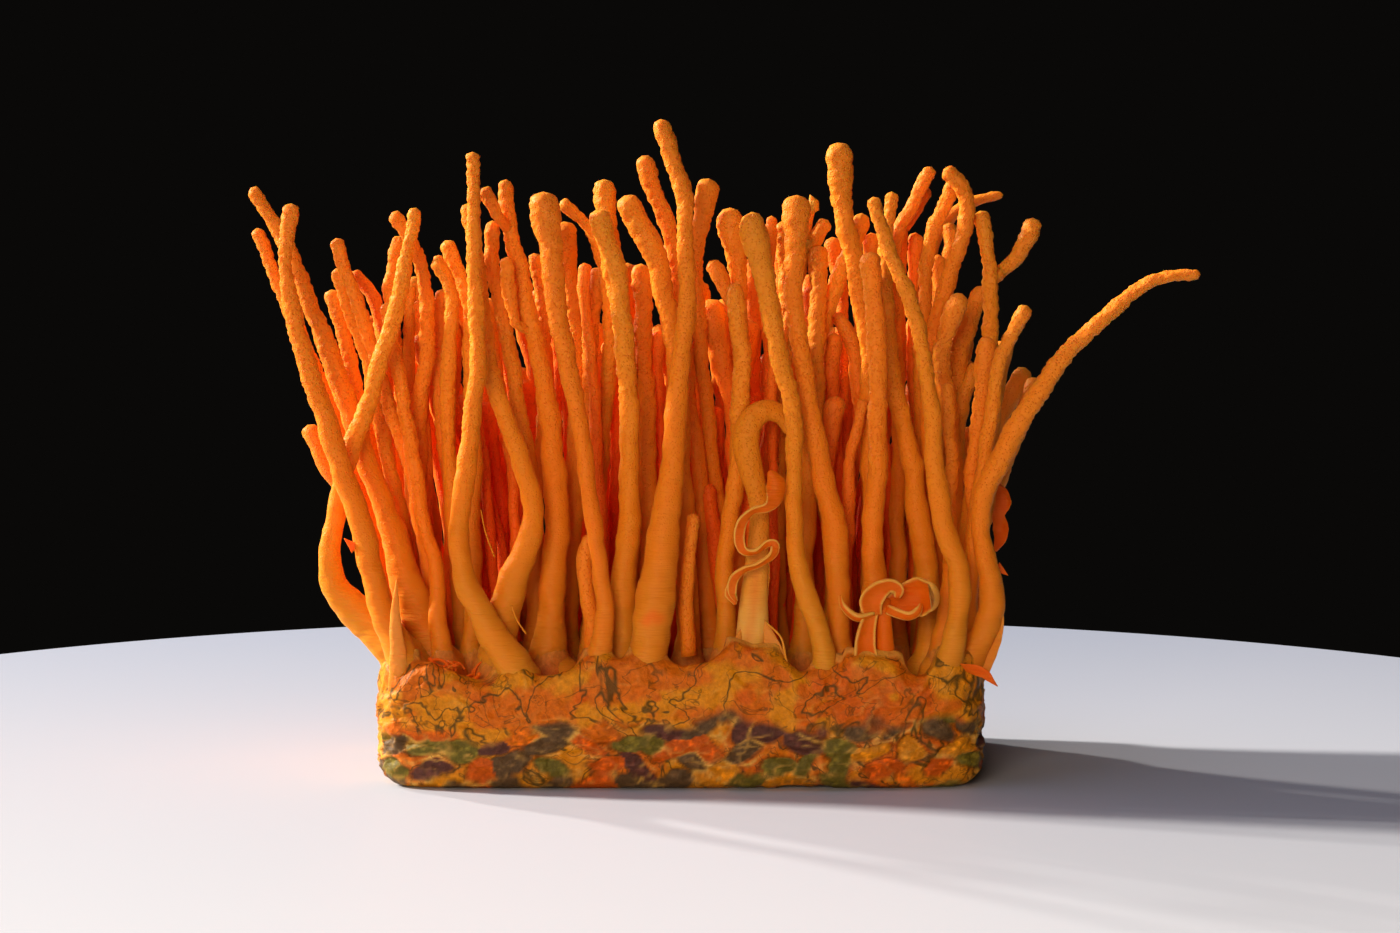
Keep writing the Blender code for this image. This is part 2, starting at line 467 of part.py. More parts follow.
def thicket(name, middle, width, finish, collection):
    """A plain block that fills the place of the clubs crowded behind the single ones."""
    depth = THICKET_DEPTHS[1] - THICKET_DEPTHS[0]
    height = THICKET_HEIGHT - CAKE_HEIGHT - FOOT_GAP
    mesh = gridded_box(THICKET_CELLS, (width, depth, height))
    for vertex in mesh.verts:
        rise = vertex.co.z / height
        lump = noise.noise(vertex.co / 9.0 + Vector((middle, 0, 0)))
        vertex.co.x = vertex.co.x * (1 - SIDE_RAGGEDNESS * abs(lump)) + middle
        vertex.co.x *= 1 + (THICKET_SPREAD - 1) * rise
        if rise > 0.99:
            vertex.co.z -= TOP_RAGGEDNESS * abs(lump)
        vertex.co.z += CAKE_HEIGHT + FOOT_GAP
        vertex.co.y = fanned(vertex.co.y + sum(THICKET_DEPTHS) / 2, vertex.co.z)
    bmesh.ops.scale(mesh, vec=(MM, MM, MM), verts=mesh.verts)
    return mesh_object(name, mesh, finish, collection)


def build():
    for old in list(bpy.data.objects):
        bpy.data.objects.remove(old)
    collection = bpy.data.collections.new("cordyceps_bunch")
    bpy.context.scene.collection.children.link(collection)

    club_finish = material("club_flesh", CLUB_ORANGE, 0.6)
    pale_finish = material("pale_flesh", PALE_ORANGE, 0.55)
    cake_finish = material("grain_and_mycelium", CAKE_ORANGE, 0.65)

    entries = {**CLUBS, **GROWTHS}
    names = [*entries, *BRANCHES, "curly_tendril"]
    lines = [rooted(entry) for entry in entries.values()]
    lines += [sampled(*entry) for entry in BRANCHES.values()]
    lines.append(sampled(*TENDRIL))
    lines = parted(np.array(lines))
    for name, line in zip(names, lines):
        place, share = carried_back(line[:, 0], line[:, 1], line[:, 3])
        radius = line[:, 2] * share
        if name in entries:
            place = grounded(place, radius)
        rings, thickness = rings_of(place, radius)
        finish = club_finish if name in CLUBS else pale_finish
        tube(name, rings, thickness, finish, collection)

    grain_cake(cake_finish, collection)
    third = (CAKE_LENGTH - 12) / 3
    for name, step in (("left", -1), ("middle", 0), ("right", 1)):
        thicket(f"thicket_{name}", step * third, third - THICKET_GAP, club_finish, collection)


build()
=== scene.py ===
"""Cordyceps bunch: the looks of the orange clubs and of the grain cake that they grow on.

Lengths are in millimetres in the tables and functions, and turned to metres where a
mesh is made. -Y is the viewer's side, +X the viewer's right and +Z up.
"""

import bpy
import numpy as np
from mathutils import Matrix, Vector


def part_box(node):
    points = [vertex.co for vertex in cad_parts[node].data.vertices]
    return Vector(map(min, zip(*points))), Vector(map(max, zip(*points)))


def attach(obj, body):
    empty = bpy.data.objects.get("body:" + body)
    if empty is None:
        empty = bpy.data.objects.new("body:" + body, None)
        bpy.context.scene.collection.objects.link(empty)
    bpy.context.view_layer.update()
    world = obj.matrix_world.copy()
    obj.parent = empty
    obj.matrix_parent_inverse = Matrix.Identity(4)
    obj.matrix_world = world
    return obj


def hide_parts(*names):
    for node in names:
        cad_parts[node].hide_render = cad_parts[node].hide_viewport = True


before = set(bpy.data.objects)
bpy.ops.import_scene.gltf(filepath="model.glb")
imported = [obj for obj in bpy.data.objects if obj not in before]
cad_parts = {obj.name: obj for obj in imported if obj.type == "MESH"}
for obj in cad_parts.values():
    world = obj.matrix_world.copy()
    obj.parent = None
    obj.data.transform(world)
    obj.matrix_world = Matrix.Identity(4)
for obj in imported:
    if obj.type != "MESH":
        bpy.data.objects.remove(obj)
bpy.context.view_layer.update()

MM = 0.001
SEED = 7

# The eye and the sighting grid that the routes below are read against.
EYE = np.array([3.3, -508.0, 90.8])
AIM = np.array([3.3, -28.0, 54.75])
GRID_DEPTH = -28.0
VIEW_WIDTH = 233.3  # at the aim
SENSOR = 36.0

# Meshes: sides round, and a ring about every this many millimetres.
CLUB_SIDES, CLUB_STEP = 32, 0.36
CROWD_SIDES, CROWD_STEP = 14, 1.0
SHEET_SIDES, SHEET_STEP = 28, 0.3
THREAD_SIDES = 8
ROUTE_STEP = 1.5  # between the points that clearance is measured from

# A club's surface: knobs, a head and a foot.
KNOB_SIZE, KNOB_HEIGHT = 0.85, 0.26
HEAD_SWELL = 0.15
FOOT_FLARE, FLARE_HEIGHT = 0.6, 3.4
FOOT_MARGIN = 4.0  # a CAD tube that starts higher than this above the cake is a branch
FORK_REACH = 2.5  # how far back a branch is carried into its club
ROOT_DEPTH = 6.0  # how far a foot is carried down into the cake
ROOT_INWARD = 0.94  # a root lies this much nearer the cake's middle than its foot

# Following a CAD tube: the first cut's reach, then the steps and reaches in radii.
FIRST_REACH = 9.0
CUT_STEP, CUT_REACH, TURNING = 0.35, 1.5, 0.6
TIP_REACH = 1.9  # cuts nearer the tip than this are clipped by its cap
CORNER_SHARE = 1.03  # an eight-sided cut's mean reach falls this short of its corners

# The cake.
CAKE_LOW, CAKE_HIGH = (np.array(corner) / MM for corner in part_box("grain_cake"))
CAKE_TOP = 18.6
CORNER_POWER = 9.0
SKIN_AROUND, SKIN_SIDE, SKIN_TOP = 720, 52, 58
BOTTOM_ROUNDING, TOP_ROUNDING = 3.4, 2.0
GRAIN_PITCH, GRAIN_ROWS = (7.0, 3.2), 7
GRAIN_HALF = (4.0, 1.8)
FLOOR_DROP = 3.0  # the hollow behind the rim
COLLAR_HEIGHT = 3.8  # how far the felt climbs each foot

# The height of the cake's front rim, sighted, from left to right.
FRONT_RIM = np.array([
    (-51, 18), (-49.5, 20), (-47, 18.5), (-45, 20), (-41.5, 21.3), (-38, 20), (-36, 18.5),
    (-34, 17.5), (-31, 17), (-29, 18.7), (-26, 19.5), (-24, 19), (-19, 20), (-14, 21),
    (-10, 21.5), (-4, 20.5), (0, 20.5), (3, 21), (6, 22.5), (8.5, 23.5), (12, 22), (16, 22),
    (18.5, 20.5), (20, 19.5), (23, 18.8), (26, 19.2), (28, 21), (36.5, 20), (38, 18.8),
    (41, 19.3), (43, 21), (45, 22), (48, 21.5), (50.5, 21), (53, 18.3)])

# The crowd: how it fans out in depth with height, and where its feet and heads are.
FAN_MIDDLE, FAN_OUT, FAN_HEIGHT = -4.0, 0.3, 90.0
CROWD = 240
CROWD_WIDTH = 47.0  # furthest foot from the middle
CROWD_DEPTHS = (-12.0, 24.5)
CROWD_HEIGHTS = (44.0, 76.0)
CROWD_AIR, SMALL_AIR = 0.1, 0.05  # the least gap to the clubs already standing
BACK_REACH, BACK_STEP = 9.0, 0.6  # how far back a small club may be moved
HIDDEN_START = 24.0  # a small club first seen above this is carried down to the cake
FIBRES = 22

TABLE_RADIUS, TABLE_MIDDLE = 220.0, -20.0

# Small clubs that show between the single ones: depth, then sighted (x, z, radius).
SMALL_CLUBS = [
    (-13, (-48.6, 68, 0.8), (-49.6, 78, 0.9), (-51.2, 83.5, 1), (-54.3, 87.3, 0.8)),
    (-12, (-43.8, 55, 1), (-45, 68, 1), (-44.9, 77, 1), (-44.3, 85, 0.9)),
    (-9, (-45.5, 62, 0.9), (-48.2, 74, 0.9), (-49.2, 81.8, 0.9)),
    (-14, (-42.5, 70, 0.7), (-43, 78, 0.8), (-43.4, 82.5, 0.8)),
    (-12, (-34.6, 72, 0.8), (-36.4, 80.5, 0.9), (-38.2, 86.5, 0.9), (-41, 89.4, 0.8)),
    (-14, (-37.5, 44, 1.2), (-39.5, 60, 1.1), (-40.2, 72, 1.1), (-39.5, 84.3, 1)),
    (-15, (-35, 70.5, 0.7), (-35.6, 74.5, 0.8), (-36.5, 77, 0.8), (-38.3, 82, 0.7)),
    (-16, (-38.2, 40, 1), (-38.5, 55, 1), (-37.6, 68, 1), (-37.1, 78, 0.9)),
    (-20, (-14.6, 22, 1.5), (-15.1, 30, 1.35), (-15.8, 38, 1.2), (-15.1, 43.5, 1.1)),
    (-12, (4, 26, 1.6), (4.8, 42, 1.4), (5.4, 56, 1.5), (5.4, 65, 1.3)),
    (-15, (9.6, 46, 1.1), (9, 58, 1.2), (8.3, 66, 1.3), (6.6, 73, 1.9), (4.8, 82.6, 2)),
    (-13, (9.5, 76, 1), (8.5, 82, 1.2), (7, 85.5, 1.3), (4.8, 88.9, 1.1)),
    (-19, (1.5, 23, 1.3), (0.8, 30, 1.2), (1.5, 38, 1.1), (1.8, 47, 0.9)),
    (-17, (9.4, 21, 1.8), (7.6, 30, 1.6), (5.8, 40, 1.5), (4.5, 52, 1.3)),
    (-15, (-3, 50, 1.1), (-3.8, 66, 1.1), (-3.7, 74, 1.2), (-3.5, 77.5, 1)),
    (-16, (-1.4, 64, 0.9), (-1.5, 74, 1), (-1.9, 79, 1.3), (-1.9, 82.4, 1.1)),
    (-16, (-14.5, 70, 0.9), (-15.6, 80, 1), (-16.2, 88.6, 1)),
    (-10, (-21.5, 66, 0.9), (-22.8, 76, 0.9), (-23.5, 84.3, 0.9)),
    (-14, (15.2, 84, 0.7), (15.1, 91, 0.8), (15, 96.4, 0.8)),
    (-11, (16.8, 70, 1), (17, 82, 1.1), (16.4, 90.6, 1.1)),
    (-11, (21, 62, 0.9), (22.3, 75, 0.9), (22.1, 80, 1.2), (22.3, 85, 1.3)),
    (-15, (19.6, 86, 0.9), (21.6, 90.8, 1.2), (23.2, 93.8, 1.1), (24.6, 95.6, 0.9)),
    (-15, (21, 93, 0.6), (22.3, 96.9, 0.7)),
    (-8, (26.6, 80, 1), (26, 87, 1.2), (25.3, 92.9, 1.2)),
    (-14, (32.6, 84, 0.9), (32, 89, 1.1), (31.6, 93.6, 1.1)),
    (-16, (27.4, 36, 1.2), (28, 48, 1.1), (28.8, 58, 1), (30.5, 66, 0.8)),
    (-14, (27, 44, 1.2), (25.6, 60, 1.1), (25, 68, 1.2), (25.8, 77, 1.2)),
    (-11, (31, 58, 1.3), (29.8, 68, 1.4), (28.6, 75, 1.3), (25.9, 80.5, 1)),
    (-10, (36.5, 88, 1), (36.6, 94, 1.2), (38.6, 97.4, 1.2), (40.8, 101.3, 0.9)),
    (-7, (41.5, 82, 0.9), (42.6, 92, 1), (44.8, 96.4, 1), (48, 98.5, 1), (53.5, 99.8, 0.6)),
    (-12, (43.8, 84, 0.9), (44.8, 91, 1.1), (44.5, 95.3, 0.9)),
    (-9, (38.7, 80, 0.9), (38.6, 88, 1.1), (39.2, 93.6, 1.1)),
    (-13, (42.2, 76, 0.9), (42.7, 84, 1.1), (43, 90, 1.2)),
    (-15, (47.4, 40, 1.1), (50.4, 50, 1.1), (51.9, 60, 1.1), (53, 70, 1.1), (54.4, 77, 1)),
    (-16, (45.7, 44, 1), (46, 56, 1.1), (47, 65, 1.2), (49.6, 72, 1.1)),
]

# A dark orange stain on the broad foot of the tallest club in the middle.
STAINED_CLUB = "club_27"
STAIN = [(-5.6, 28.6), (-4.6, 29.6), (-3.6, 29)]

# Thin sheets and ribbons, and the groove up the hooked stalk. A sheet has rows of (x, depth,
# z, half-width, turn from facing the viewer in degrees, curl of the cut in radians), x and z
# sighted. A thread's rows are (x, depth, z, radius).
HOOKED_STALK = [
    (12.2, -23, 16, 4.3, 0, -0.9), (12.1, -23.6, 20.5, 3.5, 0, -0.9),
    (12.1, -23.4, 25, 3, 0, -0.8), (12.3, -22.8, 31.8, 2.4, 0, -0.7),
    (12.8, -22.2, 38.6, 1.9, 0, -0.6), (13.2, -21.6, 45.4, 1.6, 0, -0.5),
    (12.9, -21.2, 50, 1.7, 5, -0.4), (11.6, -20.8, 55, 2.1, 10, -0.3),
    (10.9, -20.4, 59, 2.3, 15, 0.3), (11.8, -20, 62.4, 2.1, 10, 0.4),
    (14.3, -19.4, 64.1, 1.8, 5, 0.4), (16.8, -18.8, 63.2, 1.5, 0, 0.3),
    (18.2, -18.4, 60.6, 0.9, 0, 0.2)]
STALK_GROOVE = [
    (12.7, 40), (12.3, 31), (11.4, 26), (11.1, 21.5), (12.4, 19.4), (13.6, 21), (14.4, 25.5)]
TWISTED_RIBBON = [
    (14.9, -25.6, 54, 0.4, 0, -0.7), (15.9, -26.2, 52, 1.8, 0, -0.8),
    (15.9, -26.6, 49.8, 1.6, 10, -0.6), (14.6, -26.9, 48.1, 1, 30, 0.5),
    (12, -27.1, 47.4, 0.9, 50, 0.7), (10.3, -27.1, 45.6, 1, 25, 0.8),
    (9.8, -26.9, 43, 1, 5, 0.9), (10.6, -26.7, 40.8, 0.9, -30, 0.8),
    (12.5, -26.7, 40.6, 0.8, -55, 0.8), (14.5, -26.8, 41.9, 0.8, -40, 0.8),
    (15.8, -26.9, 41.7, 0.8, 0, 0.8), (15.3, -26.8, 40, 0.9, 40, 0.8),
    (13.1, -26.6, 38.5, 0.9, 55, 0.9), (10.5, -26.6, 37.5, 0.8, 45, 0.9),
    (9, -26.5, 36, 0.9, 10, 0.9), (8.7, -26.4, 33.8, 0.8, -10, 0.8),
    (9.4, -26.2, 32.2, 0.3, -20, 0.6)]
RIBBON_FRILL = [
    (9.6, -25.9, 37, 0.3, 0, 0.5), (8.7, -26.1, 35.4, 0.9, 20, 0.8),
    (8.6, -26, 33.6, 1, -20, 0.8), (9.2, -25.8, 31.6, 0.3, 0, 0.5)]
CUP = [
    [(30.9, -24.6, 16.5, 3.2, -10, 0.9), (30.9, -24.6, 21.5, 2.6, -10, 1.1),
     (30.8, -24.8, 25.6, 2.2, -10, 1.3), (31.4, -24.8, 29, 1.6, -10, 1.3),
     (32.4, -24.4, 31.6, 1.2, 0, 0.9)],
    [(34.3, -24.2, 16.5, 2.6, 10, -0.9), (34.3, -24.3, 22, 2, 10, -1),
     (34.1, -24.4, 27, 1.5, 10, -0.9), (34, -24, 31, 1.3, 0, -0.6),
     (34.4, -23.4, 32.6, 0.9, 0, -0.4)],
    [(32.2, -24.6, 29.8, 1.1, 40, 0.8), (30, -25.4, 29.5, 1, 50, 1),
     (28.4, -25.8, 30.2, 0.8, 50, 1.1), (27.1, -25.8, 31.6, 0.5, 30, 1),
     (26.7, -25.6, 33.2, 0.15, 0, 0.6)],
    [(32.2, -24.8, 29.8, 1.6, 0, 0.5), (31.8, -25.3, 32.2, 2.2, -5, 0.9),
     (33, -25.4, 34, 2, -10, 1.1), (34.9, -25.2, 34.9, 1.4, -10, 1.2),
     (36.4, -25, 34.2, 1.1, 0, 1.2), (36.3, -24.8, 32.8, 0.5, 0, 0.8)],
    [(34.2, -23.2, 31.2, 1.2, 0, 0.6), (36.2, -22.6, 32, 2.4, 0, 1),
     (38.4, -22.4, 32.8, 3.8, 0, 1.15), (40.4, -22.8, 33.2, 4.2, 0, 1.15),
     (42, -24.2, 33.3, 3.9, 0, 1.15), (42.9, -26, 33.2, 2.9, 0, 1)],
    [(34.6, -24.4, 30.8, 0.8, 0, 0.6), (36.4, -25.2, 30.2, 1, -30, 0.9),
     (38.4, -25.8, 29.8, 1, -40, 0.9), (39.8, -26, 30.6, 0.7, -20, 0.8),
     (40.3, -25.8, 31.8, 0.2, 0, 0.5)]]
WEBS = [
    [(16, -25.2, 16.5, 3.4, 0, 0.2), (16, -25, 20.5, 2.5, 0, 0.25),
     (15.5, -24.6, 24, 1.6, 0, 0.25), (14.7, -24.2, 27, 0.8, 0, 0.2),
     (14.1, -23.8, 29, 0.1, 0, 0.1)],
    [(7.6, -25.2, 16.5, 4.4, 0, 0.2), (8.4, -25, 20.5, 2.9, 0, 0.25),
     (9.4, -24.4, 24.2, 1.3, 0, 0.2), (10.1, -23.8, 27.4, 0.1, 0, 0.1)],
    [(51, -22.6, 20, 0.8, 25, 0.5), (52.6, -22.2, 26, 1.6, 30, 0.6),
     (53, -21.6, 30.5, 1.3, 30, 0.5), (52, -20.8, 35, 0.2, 20, 0.3)],
    [(-47, -25.4, 17, 2.2, 0, -0.6), (-47.3, -25.6, 23, 1.5, 0, -0.6),
     (-47.7, -25.4, 29.5, 0.9, 0, -0.5), (-47.4, -25, 35.8, 0.1, 0, -0.3)]]
FLAKES = [
    [(52.6, -11, 40.6, 0.3, 0, 0.6), (53.6, -11.6, 43.6, 1.5, 20, 0.9),
     (53, -12, 46.6, 1.2, -20, 0.8), (54, -12, 49.4, 1.4, 10, 0.9),
     (53, -11.8, 52, 0.2, 0, 0.5)],
    [(52.8, -20, 38, 0.9, 0, 0.5), (53.8, -20.2, 37.2, 0.5, 0, 0.4),
     (54.8, -20.4, 36.5, 0.06, 0, 0.2)],
    [(46.8, -25.2, 21, 1.3, -40, 0.3), (50.2, -25.8, 20.4, 1.2, -40, 0.4),
     (53.2, -26.4, 17.8, 0.1, -30, 0.2)],
    [(-54.2, -22.4, 41, 0.9, 0, 0.4), (-55.2, -22.6, 41.9, 0.5, 0, 0.3),
     (-56.1, -22.8, 42.7, 0.06, 0, 0.2)]]
THREADS = [
    [(14.3, -24, 28.6, 0.16), (16.9, -25.2, 26, 0.2), (17.7, -25.8, 22.2, 0.24),
     (18.8, -26.2, 19.6, 0.3)],
    [(-33.2, -24.5, 47.5, 0.1), (-32.4, -24.6, 43.5, 0.12), (-31, -24.8, 39.5, 0.1)],
    [(-28.2, -25, 31.5, 0.12), (-27.4, -25.2, 29, 0.14), (-25.8, -25.4, 26.5, 0.12)]]


def linear(code):
    """The linear RGBA of an sRGB hex colour."""
    channels = np.array([int(code[i:i + 2], 16) for i in (1, 3, 5)]) / 255
    curve = ((channels + 0.055) / 1.055) ** 2.4
    return (*np.where(channels > 0.04045, curve, channels / 12.92), 1.0)


def smoothstep(low, high, value):
    """0 below low, 1 above high, and 3t^2 - 2t^3 between them."""
    t = np.clip((value - low) / (high - low), 0, 1)
    return t * t * (3 - 2 * t)


def lattice_value(cells, seed):
    """A repeatable random number from 0 to 1 for each whole-numbered cell."""
    bits = cells[..., 0] * 374761393 + cells[..., 1] * 668265263
    bits = (bits + cells[..., 2] * 2147483647 + seed * 974634777) & 0xFFFFFFFF
    bits = ((bits ^ (bits >> 13)) * 1274126177) & 0xFFFFFFFF
    return ((bits ^ (bits >> 16)) & 0xFFFFFF) / 0xFFFFFF


def soft_noise(points, size, seed):
    """Value noise from -1 to 1: random corners of a cube lattice, blended smoothly."""
    scaled = points / size
    cell = np.floor(scaled).astype(np.int64)
    t = scaled - cell
    t = t * t * (3 - 2 * t)
    total = np.zeros(points.shape[:-1])
    for corner in np.ndindex(2, 2, 2):
        corner = np.array(corner)
        share = np.where(corner == 1, t, 1 - t).prod(axis=-1)
        total += share * lattice_value(cell + corner, seed)
    return total * 2 - 1


def layered_noise(points, size, seed, layers=3):
    """Octaves of soft_noise, each half the size and height of the one before."""
    parts = [soft_noise(points, size / 2 ** k, seed + k) / 2 ** k for k in range(layers)]
    return sum(parts) / sum(0.5 ** k for k in range(layers))


def cell_noise(points, size, seed):
    """Distance, in cubes, to the nearest of one random seed point per cube."""
    scaled = points / size
    cell = np.floor(scaled).astype(np.int64)
    nearest = np.full(points.shape[:-1], np.inf)
    for offset in np.ndindex(3, 3, 3):
        near = cell + np.array(offset) - 1
        jitter = np.stack([lattice_value(near, seed + k) for k in (11, 12, 13)], axis=-1)
        nearest = np.minimum(nearest, np.linalg.norm(near + jitter - scaled, axis=-1))
    return nearest


def unit(vectors):
    """Each row divided by its own length."""
    return vectors / np.linalg.norm(vectors, axis=-1, keepdims=True)


def distances_along(path):
    """The distance walked along a path to each of its points."""
    return np.concatenate([[0], np.cumsum(np.linalg.norm(np.diff(path, axis=0), axis=1))])


def smooth_line(knots, step):
    """Points about `step` apart along the Catmull-Rom curve through the knots' columns."""
    knots = np.asarray(knots, float)
    ends = 2 * knots[[0, -1]] - knots[[1, -2]]
    knots = np.concatenate([ends[:1], knots, ends[1:]])
    before, start = knots[:-3, None], knots[1:-2, None]
    end, after = knots[2:-1, None], knots[3:, None]
    t = np.linspace(0, 1, 24, endpoint=False)[None, :, None]
    curve = 0.5 * (
        2 * start + (end - before) * t
        + (2 * before - 5 * start + 4 * end - after) * t ** 2
        + (3 * start - before - 3 * end + after) * t ** 3)
    curve = np.concatenate([curve.reshape(-1, knots.shape[1]), knots[-2:-1]])
    along = distances_along(curve[:, :3])
    wanted = np.linspace(0, along[-1], max(8, round(along[-1] / step)))
    return np.stack([np.interp(wanted, along, column) for column in curve.T], axis=1)


def cad_mesh(name):
    """(corners in mm, the triangles' corner numbers) of a CAD node."""
    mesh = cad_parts[name].data
    mesh.calc_loop_triangles()
    corners = np.empty(len(mesh.vertices) * 3)
    mesh.vertices.foreach_get("co", corners)
    triangles = np.empty(len(mesh.loop_triangles) * 3, int)
    mesh.loop_triangles.foreach_get("vertices", triangles)
    return corners.reshape(-1, 3) / MM, triangles.reshape(-1, 3)


def lower_cap(corners, triangles):
    """(middle, way in) of a tube's lower cap.

    The two caps are the only places where five or more triangles lie in one plane.
    """
    a, b, c = corners[triangles].transpose(1, 0, 2)
    normals = unit(np.cross(b - a, c - a))
    offsets = (normals * a).sum(axis=1)
    level = (normals @ normals.T > 0.9999) & (np.abs(offsets[:, None] - offsets) < 0.01)
    heights = np.where(level.sum(axis=1) > 4, corners[triangles][..., 2].mean(axis=1), np.inf)
    lowest = heights.argmin()
    middle = corners[np.unique(triangles[level[lowest]])].mean(axis=0)
    return middle, -normals[lowest]


def cut(edges, place, ahead, reach):
    """Where edges pass through the plane square to `ahead`, no further off than reach."""
    side = (edges - place) @ ahead
    crossing = side.prod(axis=1) < 0
    edges, side = edges[crossing], side[crossing]
    share = side[:, :1] / (side[:, :1] - side[:, 1:])
    hits = edges[:, 0] + share * (edges[:, 1] - edges[:, 0])
    return hits[np.linalg.norm(hits - place, axis=1) < reach]


def cad_line(name):
    """(x, y, z, radius) along a CAD tube, lower end first.

    Starting inwards from the lower cap, a plane square to the way ahead cuts the tube.
    The middle of the cut is the next point, its mean reach is the radius there, and the
    steps to it turn the way ahead.
    """
    corners, triangles = cad_mesh(name)
    edges = corners[triangles[:, [0, 1, 1, 2, 2, 0]].reshape(-1, 2)]
    middle, ahead = lower_cap(corners, triangles)
    hits = cut(edges, middle + 0.1 * ahead, ahead, FIRST_REACH)
    line = []
    while len(hits) > 3:
        middle = hits.mean(axis=0)
        radius = np.linalg.norm(hits - middle, axis=1).mean()
        line.append([*middle, radius])
        if len(line) > 2:
            ahead = unit(ahead + TURNING * unit(middle - line[-3][:3]))
        step = CUT_STEP * radius
        hits = cut(edges, middle + ahead * step, ahead, CUT_REACH * radius + step)
    line = np.array(line)
    near = corners[np.linalg.norm(corners - line[-1, :3], axis=1) < 3 * line[-1, 3]]
    tip = line[-1, :3] + ahead * max(0.1, ((near - line[-1, :3]) @ ahead).max())
    line = np.concatenate([line, [[*tip, line[-1, 3]]]])
    to_tip = np.linalg.norm(line[:, :3] - tip, axis=1)
    full = to_tip > TIP_REACH * line[-8:, 3].max()
    line[~full, 3] = line[full, 3][-1]
    line[:, 3] *= CORNER_SHARE
    return softened(line)


def softened(line):
    """The line with its corners rounded: a weighted mean over about two radii each way."""
    even = smooth_line(line, 0.5)
    kernel = np.exp(-0.5 * (np.arange(-6, 7) / 2.6) ** 2)
    kernel /= kernel.sum()
    ends = np.repeat(even[[0, -1]], 6, axis=0)
    padded = np.concatenate([2 * ends[:6] - even[6:0:-1], even, 2 * ends[6:] - even[-2:-8:-1]])
    return np.stack([np.convolve(column, kernel, mode="valid") for column in padded.T], axis=1)


def rounded_tip(line):
    """Swells a club's head, and closes its last radius as a half ball: r * sqrt(1 - t^2)."""
    steps = np.linalg.norm(np.diff(line[:, :3], axis=0), axis=1)
    to_end = np.concatenate([np.cumsum(steps[::-1])[::-1], [0]])
    reach = max(line[-1, 3], 0.3)
    line[:, 3] *= 1 + HEAD_SWELL * np.exp(-((to_end / reach - 2.0) / 2.4) ** 2)
    t = np.clip(1 - to_end / reach, 0, 1)
    line[:, 3] *= np.sqrt(np.clip(1 - t ** 2, 0.0004, 1))
    return line


def fine_tip(line):
    """The line with four more rings inside its last ring but one, so that a head is round."""
    last = np.linspace(0, 1, 6)[1:-1, None]
    extra = line[-3] + last * (line[-1] - line[-3])
    return np.concatenate([line[:-2], extra, line[-1:]])


def tube_surface(line, sides, seed, knobs=1.0, wobble=0.45, flat=0.0):
    """A knobbly round tube: (points, faces, values) of a club along its centre line.

    A point is the centre plus a turned unit vector times the radius. Slow noise swells
    the club and sways its centre, `flat` makes its cut an oval, and its upper half carries
    rounded knobs, each the top of a small ball.
    """
    centre, radius = line[:, :3].copy(), line[:, 3]
    count = len(line)
    heading = unit(np.gradient(centre, axis=0))
    across = unit(np.cross(heading, [0.0, 1.0, 0.0]))
    deep = np.cross(heading, across)
    sway = soft_noise(centre, 9.0, seed) + 0.4 * soft_noise(centre, 3.5, seed + 1)
    centre += across * (sway * wobble)[:, None]
    turn = np.linspace(0, 2 * np.pi, sides, endpoint=False)
    oval = 1 + flat * soft_noise(centre, 14.0, seed + 3)
    spoke = (
        across[:, None] * (np.cos(turn)[None, :, None] * oval[:, None, None])
        + deep[:, None] * (np.sin(turn)[None, :, None] / oval[:, None, None]))
    points = centre[:, None] + spoke * radius[:, None, None]
    climb = np.maximum.accumulate(line[:, 2] - CAKE_TOP)
    along = np.clip(climb / max(climb[-1], 30.0), 0, 1)[:, None]
    swell = 0.09 * soft_noise(points, 4.2, seed + 5) + 0.07 * soft_noise(points, 1.8, seed + 6)
    swell = swell * (0.8 + 0.9 * along)
    distance = cell_noise(points, KNOB_SIZE, seed)
    knob = np.clip(1 - (distance / 0.72) ** 2, 0, 1)
    lump = cell_noise(points, 2.1 * KNOB_SIZE, seed + 2)
    upper = 0.12 + 0.88 * smoothstep(0.38, 0.68, along + 0.14 * soft_noise(points, 9.0, seed + 8))
    rise = knobs * KNOB_HEIGHT * ((knob - 0.35) + 0.35 * (0.5 - lump)) * upper
    ring_marks = 0.035 * soft_noise(points * np.array([0.25, 0.25, 1.0]), 0.55, seed + 9)
    size = radius[:, None]
    points += spoke * (swell * size + (rise + ring_marks) * np.clip(size, 0, 1))[..., None]
    values = {"along": np.broadcast_to(along, knob.shape).ravel(), "knob": (knob * upper).ravel()}
    return points.reshape(-1, 3), tube_faces(count, sides), values


